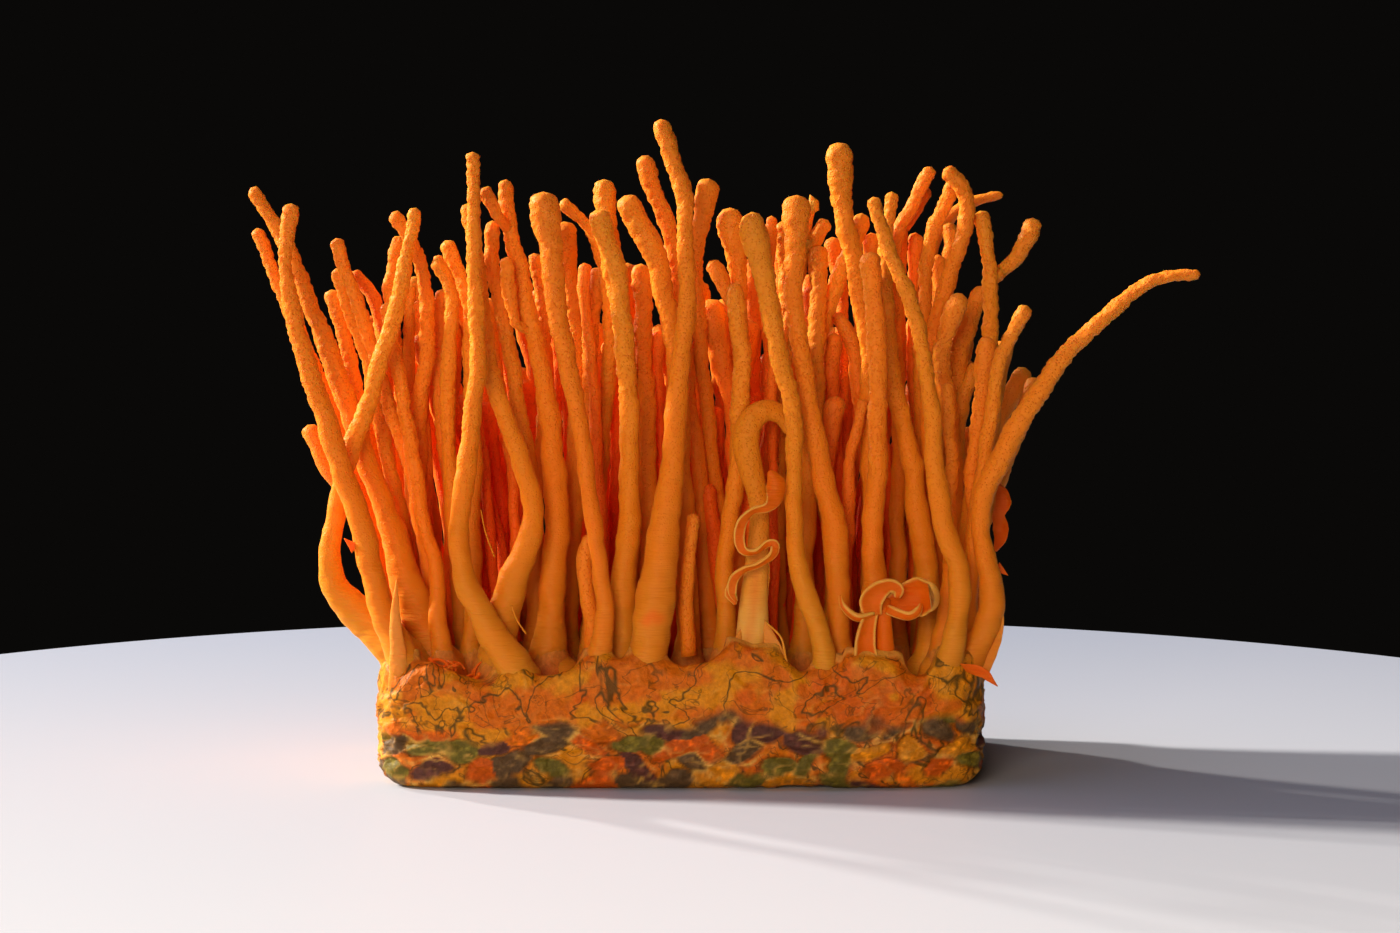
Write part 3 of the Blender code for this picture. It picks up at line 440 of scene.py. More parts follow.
def sheet_surface(rows, thick, seed, frill=0.0):
    """A closed thin sheet along a sighted route: (points, faces, values).

    Its cut is a flat oval bent to an arc. The cut's point at angle t lies v = cos t across
    and thick * sin t through the sheet, and the arc's radius R = half-width / curl takes v
    to R sin(v curl) across and R (1 - cos(v curl)) towards the hollow side. Noise pushes
    the two edges in and out by `frill` of the half-width. The hollow side is toned.
    """
    line = smooth_line(rows, SHEET_STEP)
    centre, share = carried_back(line[:, 0], line[:, 2], line[:, 1])
    wide = np.maximum(line[:, 3] * share, 0.05)[:, None]
    heading = unit(np.gradient(centre, axis=0))
    viewer = np.array([0.0, -1.0, 0.0])
    facing = unit(viewer - heading * (heading @ viewer)[:, None])
    angle = np.radians(line[:, 4])[:, None]
    hollow = facing * np.cos(angle) + np.cross(facing, heading) * np.sin(angle)
    across = np.cross(hollow, heading)
    turn = np.linspace(0, 2 * np.pi, SHEET_SIDES, endpoint=False)[None]
    curl = line[:, 5:6]
    curl = np.where(np.abs(curl) < 0.05, 0.05, curl)
    ragged = centre[:, None] + across[:, None] * np.cos(turn)[..., None] * wide[..., None]
    edge = np.abs(np.cos(turn)) ** 3
    v = np.cos(turn) * (1 + frill * edge * layered_noise(ragged, 2.2, seed))
    arc = wide / curl
    through = np.minimum(thick, 0.8 * wide) * np.sin(turn)
    ruffle = frill * 0.8 * wide * edge * soft_noise(ragged, 1.8, seed + 5)
    aside = arc * np.sin(v * curl) - through * np.sin(v * curl)
    inward = arc * (1 - np.cos(v * curl)) + through * np.cos(v * curl) + ruffle
    points = centre[:, None] + across[:, None] * aside[..., None] + hollow[:, None] * inward[..., None]
    bump = 0.22 * layered_noise(points, 1.9, seed + 7)
    points += hollow[:, None] * (bump * np.sin(turn))[..., None]
    inside = smoothstep(-0.1, 0.5, np.sin(turn)) * smoothstep(1.0, 0.8, np.abs(np.cos(turn)))
    values = {
        "along": np.full(bump.size, 0.12), "knob": np.zeros(bump.size),
        "tone": np.broadcast_to(inside, bump.shape).ravel()}
    return points.reshape(-1, 3), tube_faces(len(line), SHEET_SIDES), values


def sheets(tables, thick, seed, frill):
    """A sheet for each table, each with its own noise."""
    return [sheet_surface(rows, thick, seed + index, frill) for index, rows in enumerate(tables)]


def sighted_tube(rows, seed):
    """A thin smooth tube along rows of (x, depth, z, radius), x and z sighted."""
    line = smooth_line(rows, SHEET_STEP)
    place, share = carried_back(line[:, 0], line[:, 2], line[:, 1])
    line = rounded_tip(np.column_stack([place, line[:, 3] * share]))
    return toned(tube_surface(line, THREAD_SIDES, seed, knobs=0.0, wobble=0.1), 0.0)


def curled_fibres(random):
    """Thin strands in the hollow behind the rim's left end, each an arc of a leaning ellipse."""
    strands = []
    draw = random.uniform
    for index in range(FIBRES):
        x, z = draw(-44, -32), draw(16.5, 20.5)
        wide, tall = draw(1.2, 3.2), draw(1.0, 2.6)
        turn = draw(0, 2 * np.pi) + np.linspace(0, draw(2.5, 4.8), 9)
        rows = np.column_stack([
            x + wide * np.cos(turn), -23.0 + draw(-1.5, 3) + 0.8 * np.sin(1.7 * turn),
            z + tall * np.sin(turn), np.full(9, draw(0.18, 0.34))])
        strands.append(sighted_tube(rows, 380 + index))
    return strands


def off_path(points, path, depth):
    """Each point's distance, seen from the front, to the path sighted at this depth."""
    path = smooth_line([(x, 0, z) for x, z in path], 0.4)
    place, _ = carried_back(path[:, 0], path[:, 2], np.full(len(path), depth))
    aside = points[:, None, [0, 2]] - place[None, :, [0, 2]]
    return np.linalg.norm(aside, axis=2).min(axis=1)


def tube_faces(count, sides):
    """Quads between a tube's rings and a fan of triangles on each end's own ring."""
    ring = np.arange(count - 1)[:, None] * sides
    side = np.arange(sides)[None]
    beside = (side + 1) % sides
    quads = np.stack([ring + side, ring + beside, ring + beside + sides, ring + side + sides], axis=-1)
    fan = np.arange(1, sides - 1)
    zero = np.zeros_like(fan)
    last = (count - 1) * sides
    start = np.stack([zero, fan + 1, fan], axis=-1)
    end = np.stack([zero, fan, fan + 1], axis=-1) + last
    return quads.reshape(-1, 4), np.concatenate([start, end])


def joined(parts):
    """One (points, faces, values) out of several, with their corner numbers shifted."""
    bases = np.cumsum([0] + [len(points) for points, _, _ in parts])
    points = np.concatenate([points for points, _, _ in parts])
    quads = np.concatenate([quads + base for (_, (quads, _), _), base in zip(parts, bases)])
    fans = np.concatenate([fans + base for (_, (_, fans), _), base in zip(parts, bases)])
    values = {key: np.concatenate([part[2][key] for part in parts]) for key in parts[0][2]}
    return points, (quads, fans), values


def in_scene(name, data):
    """A new object of this mesh, lamp or camera, in the scene."""
    made = bpy.data.objects.new(name, data)
    bpy.context.scene.collection.objects.link(made)
    return made


def piece(name, shape, finish, replaced=()):
    """A smooth mesh object on the root body from (points in mm, faces, vertex values)."""
    points, (quads, fans), values = shape
    mesh = bpy.data.meshes.new(name)
    mesh.from_pydata(points * MM, [], quads.tolist() + fans.tolist())
    mesh.shade_smooth()
    for key, column in values.items():
        is_colour = column.ndim == 2
        layer = mesh.attributes.new(key, "FLOAT_COLOR" if is_colour else "FLOAT", "POINT")
        layer.data.foreach_set("color" if is_colour else "value", column.astype(np.float32).ravel())
    mesh.materials.append(finish)
    made = in_scene(name, mesh)
    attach(made, "root")
    if replaced:
        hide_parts(*replaced)


def add(tree, kind, inputs=None, stops=(), **settings):
    """Adds a shader node with its settings, inputs and ramp stops.

    An input is a value, a socket, or a node, which stands for its first enabled output.
    """
    made = tree.nodes.new("ShaderNode" + kind)
    for key, value in settings.items():
        setattr(made, key, value)
    for key, value in (inputs or {}).items():
        if isinstance(value, bpy.types.Node):
            value = next(socket for socket in value.outputs if socket.enabled)
        if isinstance(value, bpy.types.NodeSocket):
            tree.links.new(value, made.inputs[key])
        else:
            made.inputs[key].default_value = value
    for index, (position, code) in enumerate(stops):
        elements = made.color_ramp.elements
        element = elements[index] if index < len(elements) else elements.new(position)
        element.position = position
        element.color = linear(code)
    return made


def new_finish(name, **values):
    """(material, node tree, Principled node) with the shader's own values set."""
    made = bpy.data.materials.new(name)
    made.use_nodes = True
    shader = made.node_tree.nodes["Principled BSDF"]
    for key, value in values.items():
        shader.inputs[key].default_value = value
    return made, made.node_tree, shader


def flesh(name, stops, inner, knob_red, subsurface):
    """Cordyceps flesh: firm jelly-like fungus, grown, moist.

    The eye sees light glow through it, a smooth ochre foot, an orange body, and above a
    rough coat of tiny blisters with redder mouths. Blisters are 0.4 to 0.9 mm across.
    """
    made, tree, shader = new_finish(
        name, **{
            "Roughness": 0.52, "IOR": 1.4, "Specular IOR Level": 0.2, "Sheen Weight": 0.1,
            "Sheen Roughness": 0.35, "Sheen Tint": linear("#FFC868"),
            "Subsurface Weight": subsurface, "Subsurface Radius": (1.0, 0.3, 0.04),
            "Subsurface Scale": 0.0016})
    place = add(tree, "TexCoord").outputs["Object"]
    along, knob, tone = (
        add(tree, "Attribute", attribute_name=key).outputs["Fac"] for key in ("along", "knob", "tone"))
    patches = add(tree, "TexNoise", {"Vector": place, "Scale": 160.0, "Detail": 3.0})
    shifted = add(tree, "Math", {0: patches, 1: -0.5}, operation="ADD")
    shifted = add(tree, "Math", {0: shifted, 1: 0.28, 2: along}, operation="MULTIPLY_ADD")
    body = add(tree, "ValToRGB", {"Fac": shifted}, stops=stops)
    # Tone mixes in the inner red: a club's own tone and, deep in the crowd, painted shade.
    colour = add(tree, "Mix", {"Factor": tone, "A": body, "B": linear(inner)}, data_type="RGBA")
    # Fine blisters, 0.45 mm apart, and their red mouths.
    blisters = add(tree, "TexVoronoi", {"Vector": place, "Scale": 2200.0})
    mouths = add(tree, "MapRange", {"Value": blisters, 1: 0.05, 2: 0.45, 3: 1.0, 4: 0.0})
    reddened = add(tree, "Math", {0: mouths, 1: knob}, operation="MULTIPLY")
    reddened = add(tree, "Math", {0: reddened, 1: knob_red}, operation="MULTIPLY")
    colour = add(
        tree, "Mix", {"Factor": reddened, "A": colour, "B": linear("#E05A0A")}, data_type="RGBA")
    tree.links.new(colour.outputs["Result"], shader.inputs["Base Color"])
    # The relief: blisters above, fine cross lines 0.5 mm apart below.
    lines = add(tree, "Mapping", {"Vector": place, "Scale": (260.0, 260.0, 2100.0)})
    lines = add(tree, "TexNoise", {"Vector": lines, "Scale": 1.0, "Detail": 2.0})
    above = add(tree, "MapRange", {"Value": along, 1: 0.15, 2: 0.6})
    relief = add(tree, "Mix", {"Factor": above, "A": lines, "B": mouths}, data_type="FLOAT")
    bump = add(tree, "Bump", {"Height": relief, "Strength": 0.6, "Distance": 0.00034})
    tree.links.new(bump.outputs["Normal"], shader.inputs["Normal"])
    return made


def cake_skin_finish():
    """Mycelium on cooked grain: a felt of fine threads, damp, over soft swollen grains.

    The eye sees a satin, slightly glowing crust whose colour is held in the mesh, grain
    by grain, broken up by a felt of threads about 0.3 mm apart and by 1 mm mottling.
    """
    made, tree, shader = new_finish(
        "mycelium_on_grain", **{
            "Roughness": 0.5, "IOR": 1.4, "Specular IOR Level": 0.2,
            "Subsurface Weight": 0.2, "Subsurface Radius": (1.0, 0.4, 0.1),
            "Subsurface Scale": 0.001})
    place = add(tree, "TexCoord").outputs["Object"]
    tint = add(tree, "Attribute", attribute_name="tint").outputs["Color"]
    felt = add(tree, "Attribute", attribute_name="felt").outputs["Fac"]
    mottle = add(
        tree, "TexNoise", {"Vector": place, "Scale": 1100.0, "Detail": 3.0, "Roughness": 0.6})
    mottle = add(tree, "MapRange", {"Value": mottle, 1: 0.3, 2: 0.7, 3: 0.78, 4: 1.16})
    colour = add(
        tree, "Mix", {"Factor": 1.0, "A": tint, "B": mottle},
        data_type="RGBA", blend_type="MULTIPLY")
    # Dark olive lines 0.2 to 0.3 mm wide, where a slow noise crosses its middle value.
    for scale, width, strength in (88.0, 0.017, 0.85), (190.0, 0.015, 0.6):
        slow = add(
            tree, "TexNoise", {"Vector": place, "Scale": scale, "Detail": 3.0, "Distortion": 0.8})
        off = add(tree, "Math", {0: slow, 1: 0.5}, operation="SUBTRACT")
        off = add(tree, "Math", {0: off}, operation="ABSOLUTE")
        line = add(tree, "MapRange", {"Value": off, 1: 0.2 * width, 2: width, 3: strength, 4: 0.0})
        line = add(tree, "Math", {0: line, 1: felt}, operation="MULTIPLY")
        colour = add(
            tree, "Mix", {"Factor": line, "A": colour, "B": linear("#4A3A10")}, data_type="RGBA")
    tree.links.new(colour.outputs["Result"], shader.inputs["Base Color"])
    creases = add(
        tree, "TexNoise", {"Vector": place, "Scale": 520.0, "Detail": 5.0, "Distortion": 1.0})
    bump = add(tree, "Bump", {"Height": creases, "Strength": 0.6, "Distance": 0.0006})
    threads = add(tree, "TexNoise", {"Vector": place, "Scale": 3200.0, "Detail": 3.0})
    bump = add(
        tree, "Bump", {"Height": threads, "Strength": 0.4, "Distance": 0.0002, "Normal": bump})
    tree.links.new(bump.outputs["Normal"], shader.inputs["Normal"])
    return made


def carried_back(across, up, depth):
    """The sighted point at its own depth, along the line from the eye through the grid."""
    share = (depth - EYE[1]) / (GRID_DEPTH - EYE[1])
    x = EYE[0] + (across - EYE[0]) * share
    z = EYE[2] + (up - EYE[2]) * share
    return np.stack([x, depth, z], axis=-1), share


def fanned(depth, height):
    """The depth at this height once the crowd has spread away from its middle plane."""
    rise = np.clip((height - 20) / FAN_HEIGHT, 0, None)
    return depth + FAN_OUT * (depth - FAN_MIDDLE) * rise ** 2


def clear_of(line, others):
    """How much air a line's surface keeps to the other lines' surfaces, at the least."""
    gaps = np.linalg.norm(line[:, None, :3] - others[None, :, :3], axis=2)
    return (gaps - line[:, None, 3] - others[None, :, 3]).min()


def small_clubs(taken):
    """Lines of the small clubs, each moved back until it is clear of what is there."""
    lines = []
    for wanted, *route in SMALL_CLUBS:
        (x, z, radius), (next_x, next_z, _) = route[:2]
        if z > HIDDEN_START:
            slope = (next_x - x) / (next_z - z)
            route = [(x - 0.45 * slope * (z - CAKE_TOP), CAKE_TOP, 1.3 * radius), *route]
        flat = smooth_line([(x, 0, z, r) for x, z, r in route], ROUTE_STEP)
        for back in np.arange(0, BACK_REACH, BACK_STEP):
            depth = fanned(np.full(len(flat), wanted + back), flat[:, 2])
            place, share = carried_back(flat[:, 0], flat[:, 2], depth)
            line = np.column_stack([place, flat[:, 3] * share])
            if clear_of(line, taken) > SMALL_AIR:
                break
        lines.append(line)
        taken = np.concatenate([taken, line])
    return lines, taken


def crowd(taken, random):
    """Lines of the clubs that fill the cake behind the single ones.

    Each starts at a random place, leans the way the bunch spreads, sways as two slow sine
    waves, and ends in a blunt or swollen head. One that runs into another is thrown away.
    """
    lines = []
    draw = random.uniform
    for _ in range(CROWD * 30):
        if len(lines) == CROWD:
            break
        foot_x, foot_y = draw(-CROWD_WIDTH, CROWD_WIDTH), draw(*CROWD_DEPTHS)
        height = draw(*CROWD_HEIGHTS) * (1 - 0.1 * abs(foot_x) / CROWD_WIDTH)
        rise = np.linspace(0, 1, 40)
        spread = foot_x * draw(0.16, 0.4) + random.normal(0, 3.5)
        sway, phase = draw(0.5, 1.8), draw(0, 6.3)
        x = foot_x + spread * rise ** 1.4 + sway * (np.sin(5.5 * rise + phase) - np.sin(phase))
        z = CAKE_TOP - 1.5 + height * rise
        lean = random.normal(0, 2.5)
        y = fanned(foot_y + lean * rise, z) + 0.6 * sway * np.sin(4.3 * rise + 2 * phase)
        foot, waist = draw(1.3, 2.0), draw(0.85, 1.3)
        head = draw(1.0, 1.9)
        radius = waist + (foot - waist) * (1 - smoothstep(0, 0.45, rise))
        radius += (head - waist) * smoothstep(0.72, 0.97, rise)
        line = np.column_stack([x, y, z, radius])
        if clear_of(line[::9], taken) > CROWD_AIR and clear_of(line, taken) > CROWD_AIR:
            lines.append(line)
            taken = np.concatenate([taken, line])
    return lines


def perimeter(count):
    """Evenly spaced points and outward normals round the cake's plan.

    The plan is the superellipse |x/a|^p + |y/b|^p = 1.
    """
    half = (CAKE_HIGH - CAKE_LOW)[:2] / 2
    centre = (CAKE_HIGH + CAKE_LOW)[:2] / 2
    turn = np.linspace(0, 2 * np.pi, 40001)
    ray = np.stack([np.cos(turn), np.sin(turn)], axis=1) * half
    reach = (np.abs(ray / half) ** CORNER_POWER).sum(axis=1) ** (-1 / CORNER_POWER)
    outline = ray * reach[:, None]
    along = distances_along(outline)
    wanted = np.linspace(0, along[-1], count, endpoint=False)
    points = np.stack([np.interp(wanted, along, column) for column in outline.T], axis=1)
    heading = np.roll(points, -1, axis=0) - np.roll(points, 1, axis=0)
    normals = unit(np.stack([heading[:, 1], -heading[:, 0]], axis=1))
    return points + centre, normals, wanted, along[-1]


def grain_pattern(arc, height, length, random):
    """Grains packed on the unrolled side: (nearest, second nearest, number) per point.

    Each grain is an ellipse, mostly level, on a jittered brick pattern. The distance to
    it is counted in its own half-axes, so 1 is its rim.
    """
    columns = round(length / GRAIN_PITCH[0])
    row, column = np.mgrid[0:GRAIN_ROWS, 0:columns]
    middle = np.stack([
        (column + 0.5 * (row % 2) + random.uniform(-0.32, 0.32, row.shape)) * length / columns,
        (row + random.uniform(-0.3, 0.3, row.shape)) * GRAIN_PITCH[1] + 0.6], axis=-1).reshape(-1, 2)
    tilt = random.normal(0, 0.42, len(middle))
    half = np.array(GRAIN_HALF) * random.uniform(0.8, 1.15, (len(middle), 2))
    first = np.full(arc.shape, 9.0)
    second = np.full(arc.shape, 9.0)
    number = np.zeros(arc.shape, int)
    for index, ((at, level), angle, (long, short)) in enumerate(zip(middle, tilt, half)):
        aside = (arc - at + length / 2) % length - length / 2
        above = height - level
        u = (aside * np.cos(angle) + above * np.sin(angle)) / long
        v = (above * np.cos(angle) - aside * np.sin(angle)) / short
        distance = np.hypot(u, v)
        nearer = distance < first
        second = np.where(nearer, first, np.minimum(second, distance))
        number = np.where(nearer, index, number)
        first = np.where(nearer, distance, first)
    return first, second, number, random.uniform(0, 1, len(middle))


def mixed(low, high, share):
    """Two colours, or arrays of them, blended by share."""
    return low + (high - low) * np.asarray(share)[..., None]


def cake_grid():
    """The plain cake: rings of points up its side and over its top, nearly to the middle.

    With the points go the plan's outward normals, the distance round the plan, its length,
    a 1 for each ring on the side and a 0 for each on the top, and how far in a point lies.
    """
    outline, normals, arc, length = perimeter(SKIN_AROUND)
    bend = np.linspace(0, np.pi / 2, 8)
    low_height = BOTTOM_ROUNDING * (1 - np.cos(bend))
    high_height = CAKE_TOP - TOP_ROUNDING * (1 - np.sin(bend))
    wall = np.linspace(low_height[-1], high_height[0], SKIN_SIDE)[1:-1]
    height = np.concatenate([low_height, wall, high_height])
    low_inset, high_inset = BOTTOM_ROUNDING * (1 - np.sin(bend)), TOP_ROUNDING * (1 - np.cos(bend))
    inset = np.concatenate([low_inset, np.zeros(len(wall)), high_inset])
    shrink = np.linspace(1, 0.004, SKIN_TOP)[1:]
    side_plan = outline - normals * inset[:, None, None]
    rim, middle = side_plan[-1], outline.mean(axis=0)
    plan = np.concatenate([side_plan, middle + (rim - middle) * shrink[:, None, None]])
    level = np.concatenate([height, np.full(len(shrink), CAKE_TOP)])
    level = np.broadcast_to(level[:, None, None], (*plan.shape[:2], 1))
    on_side = np.concatenate([np.ones(len(height)), np.zeros(len(shrink))])[:, None]
    share = np.concatenate([np.ones(len(height)), shrink])[:, None, None]
    inwards = np.linalg.norm((rim - middle) * (1 - share), axis=2)
    return np.concatenate([plan, level], axis=2), normals, arc, length, on_side, inwards


def cake_tint(points, grains, felt, top):
    """The skin's colour at each point, as linear RGBA.

    The felt drifts from orange to amber, with flame patches. A bare grain takes its kind's
    colour and a dark outline, and pale felt fills the seams and tops the folds. The floor
    behind the rim is rust, with whitish patches and collars.
    """
    first, second, number, chance, shown = grains
    fine, folds, buried, on_side = felt
    inwards, collar = top
    names = {
        "orange": "#CE680A", "amber": "#D4860E", "flame": "#CC5A08", "cream": "#DAA84E",
        "olive": "#6E6220", "plum": "#5C362C", "umber": "#4A2A0C", "rust": "#C03404",
        "slate": "#60482C"}
    shade = {name: np.array(linear(code)) for name, code in names.items()}
    amber = smoothstep(-0.1, 0.1, layered_noise(points, 6.5, 61))
    tint = mixed(shade["orange"], shade["amber"], amber)
    flame = smoothstep(0.14, 0.24, layered_noise(points, 8.0, 62)) * smoothstep(-0.7, -0.2, fine)
    tint = mixed(tint, shade["flame"], 0.8 * flame)
    kinds = ["plum", "olive", "orange", "slate", "plum", "olive", "flame", "amber", "slate"]
    kind = np.stack([shade[name] for name in kinds])[(chance * len(kinds)).astype(int)][number]
    speckle = smoothstep(0.05, 0.5, layered_noise(points, 0.9, 64))[..., None]
    tint = mixed(tint, kind * (0.85 + 0.8 * speckle), shown)
    outline = np.exp(-((first - 0.98 + 0.12 * fine) / 0.07) ** 2) * (1 - buried) * on_side
    tint = mixed(tint, shade["umber"], 0.65 * outline)
    seam = np.exp(-((second - first) / 0.2) ** 2) * (1 - buried)
    pale = 0.95 * seam + 0.5 * smoothstep(0.78, 0.98, folds) * (1 - 0.5 * buried)
    patchy = smoothstep(-0.2, 0.4, layered_noise(points, 3.0, 67)) * on_side
    tint = mixed(tint, shade["cream"], np.clip(pale, 0, 1) * patchy)
    deep = smoothstep(1.5, 5.0, inwards) * (1 - on_side)
    tint = mixed(tint, shade["rust"], 0.9 * deep * (1 - 0.6 * collar))
    whitish = 0.45 * smoothstep(0.2, 0.55, layered_noise(points, 4.5, 69)) + 0.5 * collar
    tint = mixed(tint, shade["cream"], np.clip(whitish * (1 - on_side), 0, 0.7))
    tint[..., 3] = 1.0
    return tint


def cake_skin(feet, random):
    """The cake's closed skin, as (points, faces, values).

    On the side, a point stands out from the plain cake by slow lumps and folds of
    mycelium, and each bare grain is a dome sunk between them. The rim follows a profile
    along the front. Behind it the top is a lumpy floor with pits, drawn up into a
    collar round every foot.
    """
    points, normals, arc, length, on_side, inwards = cake_grid()
    up = smoothstep(CAKE_TOP - 3, CAKE_TOP, points[..., 2])
    upper_half = smoothstep(8, CAKE_TOP, points[..., 2])
    edge = smoothstep(0, 2.5, points[..., 2])

    warp = [1.7 * layered_noise(points, 4.6, seed) for seed in (71, 72)]
    first, second, number, chance = grain_pattern(
        arc + warp[0], points[..., 2] + 0.7 * warp[1], length, random)
    fine = layered_noise(points, 1.7, 45)
    lumps = layered_noise(points, 14.0, 41)
    folds = 1 - np.abs(layered_noise(points * [1, 1, 1.5], 4.2, 43)) * 2
    buried = smoothstep(9.2, 11.2, points[..., 2] + 6.0 * layered_noise(points, 8.0, 31))
    shown = smoothstep(1.0, 0.84, first + 0.16 * fine) * (1 - buried) * on_side
    dome = np.sqrt(np.clip(1 - first ** 2, 0, 1))
    out = 0.9 * lumps + 0.75 * folds + 0.4 * fine - 0.4 + shown * (0.75 * dome - 0.75)
    points[..., :2] += normals * (out * edge * on_side)[..., None]
    low = 1 - smoothstep(0, 5, points[..., 2])
    points[..., 2] += low * 1.3 * np.clip(lumps + 0.4 * fine, 0, 1)

    front = smoothstep(-12, -25, points[..., 1])
    to_grid = (GRID_DEPTH - EYE[1]) / (points[..., 1] - EYE[1])
    sighted = EYE[0] + (points[..., 0] - EYE[0]) * to_grid
    rim_height = (np.interp(sighted, *FRONT_RIM.T) - CAKE_TOP) * front + (1 - front) * 1.2 * lumps
    reach = np.linalg.norm(points[..., None, :2] - feet[:, :2], axis=-1) - feet[:, 3]
    collar = np.exp(-np.clip(reach - 0.3, 0, None) / 1.3).max(axis=-1)
    pits = cell_noise(points, 4.2, 51)
    ground = 0.8 * layered_noise(points, 7.0, 53) + 0.9 * (0.7 - pits) + 0.3 * fine
    sunk = FLOOR_DROP * smoothstep(0.8, 4.0, inwards)
    points[..., 2] += upper_half * rim_height * np.exp(-inwards / 6)
    climb = COLLAR_HEIGHT * smoothstep(-2.5, 2.5, inwards)
    points[..., 2] += up * ((ground - sunk) * (1 - collar) + climb * collar)

    grains, felt = (first, second, number, chance, shown), (fine, folds, buried, on_side)
    tint = cake_tint(points, grains, felt, (inwards, collar))
    return points.reshape(-1, 3), tube_faces(*points.shape[:2]), {
        "tint": tint.reshape(-1, 4), "felt": ((1 - shown) * on_side).ravel()}


def lamp(name, place, size, power, code):
    """A soft square lamp that faces the bunch."""
    light = bpy.data.lights.new(name, "AREA")
    light.size = size * MM
    light.energy = power
    light.color = linear(code)[:3]
    made = in_scene(name, light)
    made.location = Vector(place) * MM
    made.rotation_euler = (Vector((0, 0, 55)) - Vector(place)).to_track_quat("-Z", "Y").to_euler()


def stage():
    """A round pale table top with painted shade towards its back, a dark room, warm light from behind
    left and a soft fill.
    """
    made, tree, shader = new_finish("pale_matt_laminate", Roughness=0.55)
    place = add(tree, "SeparateXYZ", {0: add(tree, "TexCoord").outputs["Object"]})
    # The table's colour darkens and turns bluer towards the back: painted shade, for light falling off
    # across the table.
    away = add(tree, "MapRange", {"Value": place.outputs["Y"], 1: -0.16, 2: 0.2})
    pale = add(tree, "ValToRGB", {"Fac": away}, stops=[(0.0, "#CDD5E5"), (1.0, "#A3B0CD")])
    tree.links.new(pale.outputs["Color"], shader.inputs["Base Color"])
    turn = np.linspace(0, 2 * np.pi, 160, endpoint=False)
    rim = TABLE_RADIUS * np.stack([np.cos(turn), np.sin(turn), 0 * turn], axis=1)
    rim[:, 1] += TABLE_MIDDLE
    mesh = bpy.data.meshes.new("table_top")
    mesh.from_pydata((rim * MM).tolist(), [], [list(range(len(rim)))])
    mesh.materials.append(made)
    in_scene("table_top", mesh)

    lamp("key", (-3000, 640, 1560), 260, 265.0, "#FFF0DA")
    lamp("late_key", (-2450, 1900, 1500), 150, 80.0, "#FFF0DA")
    lamp("fill", (-500, -2000, 620), 900, 23.5, "#FFE0C0")
    lamp("sky", (-300, -100, 900), 700, 2.0, "#E4E8FF")
    bpy.context.scene.view_settings.view_transform = "Standard"
    world = bpy.data.worlds.new("dark_room")
    world.use_nodes = True
    world.node_tree.nodes["Background"].inputs["Color"].default_value = linear("#0A0908")
    bpy.context.scene.world = world


def camera():
    """At the eye, aimed a little down."""
    data = bpy.data.cameras.new("camera")
    data.sensor_width = SENSOR
    data.lens = SENSOR * np.linalg.norm(AIM - EYE) / VIEW_WIDTH
    made = in_scene("camera", data)
    made.location = Vector(EYE) * MM
    made.rotation_euler = Vector(AIM - EYE).to_track_quat("-Z", "Y").to_euler()
    bpy.context.scene.camera = made


def toned(shape, tone):
    """The shape with its own tone, from 0 for plain orange to 1 for deep red."""
    points, faces, values = shape
    return points, faces, {**values, "tone": np.full(len(points), tone)}


def with_painted_crowd_shade(shape, tone):
    """The shape of a club inside the crowd: its own tone plus painted shade, redder low down and deep
    in the crowd, and with no pale foot.
    """
    points, faces, values = shape
    along = values["along"]
    # buried is how deep and how low a point lies in the crowd; the red that it adds is painted shade.
    buried = smoothstep(-22, -8, points[:, 1]) * (1 - smoothstep(40, 84, points[:, 2]))
    buried *= (1 - smoothstep(12, 23, points[:, 1])) * (1 - smoothstep(36, 47, np.abs(points[:, 0])))
    tone_and_painted_shade = tone + 0.7 * buried
    return points, faces, {**values, "along": 0.4 + 0.6 * along, "tone": np.clip(tone_and_painted_shade, 0, 1)}


def stained(shape, path, depth, width, dip):
    """The shape with a sunken redder mark along a path, where it faces the viewer."""
    points, faces, values = shape
    mark = np.exp(-(off_path(points, path, depth) / width) ** 2)
    middle = np.median(points[:, 1])
    mark *= smoothstep(middle + 1.0, middle, points[:, 1])
    points = points + np.array([0, dip, 0]) * mark[:, None]
    return points, faces, {**values, "tone": np.maximum(values["tone"], 0.4 * mark)}


def rooted(line):
    """The line with a flared foot, carried down and inwards into the cake."""
    share = np.linspace(1, 0, 9)[:-1, None]
    foot = line[0]
    root = foot + share * [foot[0] * (ROOT_INWARD - 1), foot[1] * (ROOT_INWARD - 1), -ROOT_DEPTH, 0]
    line = softened(np.concatenate([root, line]))
    line[:, 3] *= 1 + FOOT_FLARE * np.exp(-np.clip(line[:, 2] - CAKE_TOP, 0, None) / FLARE_HEIGHT)
    return line


def forked(line, parent):
    """A branch's line, started inside the club that it grows from."""
    wanted = line[0, :3] - FORK_REACH * unit(line[2, :3] - line[0, :3])
    nearest = np.linalg.norm(parent[:, :3] - wanted, axis=1).argmin()
    start = np.append(parent[nearest, :3], 0.9 * line[0, 3])
    return np.concatenate([start[None], line])


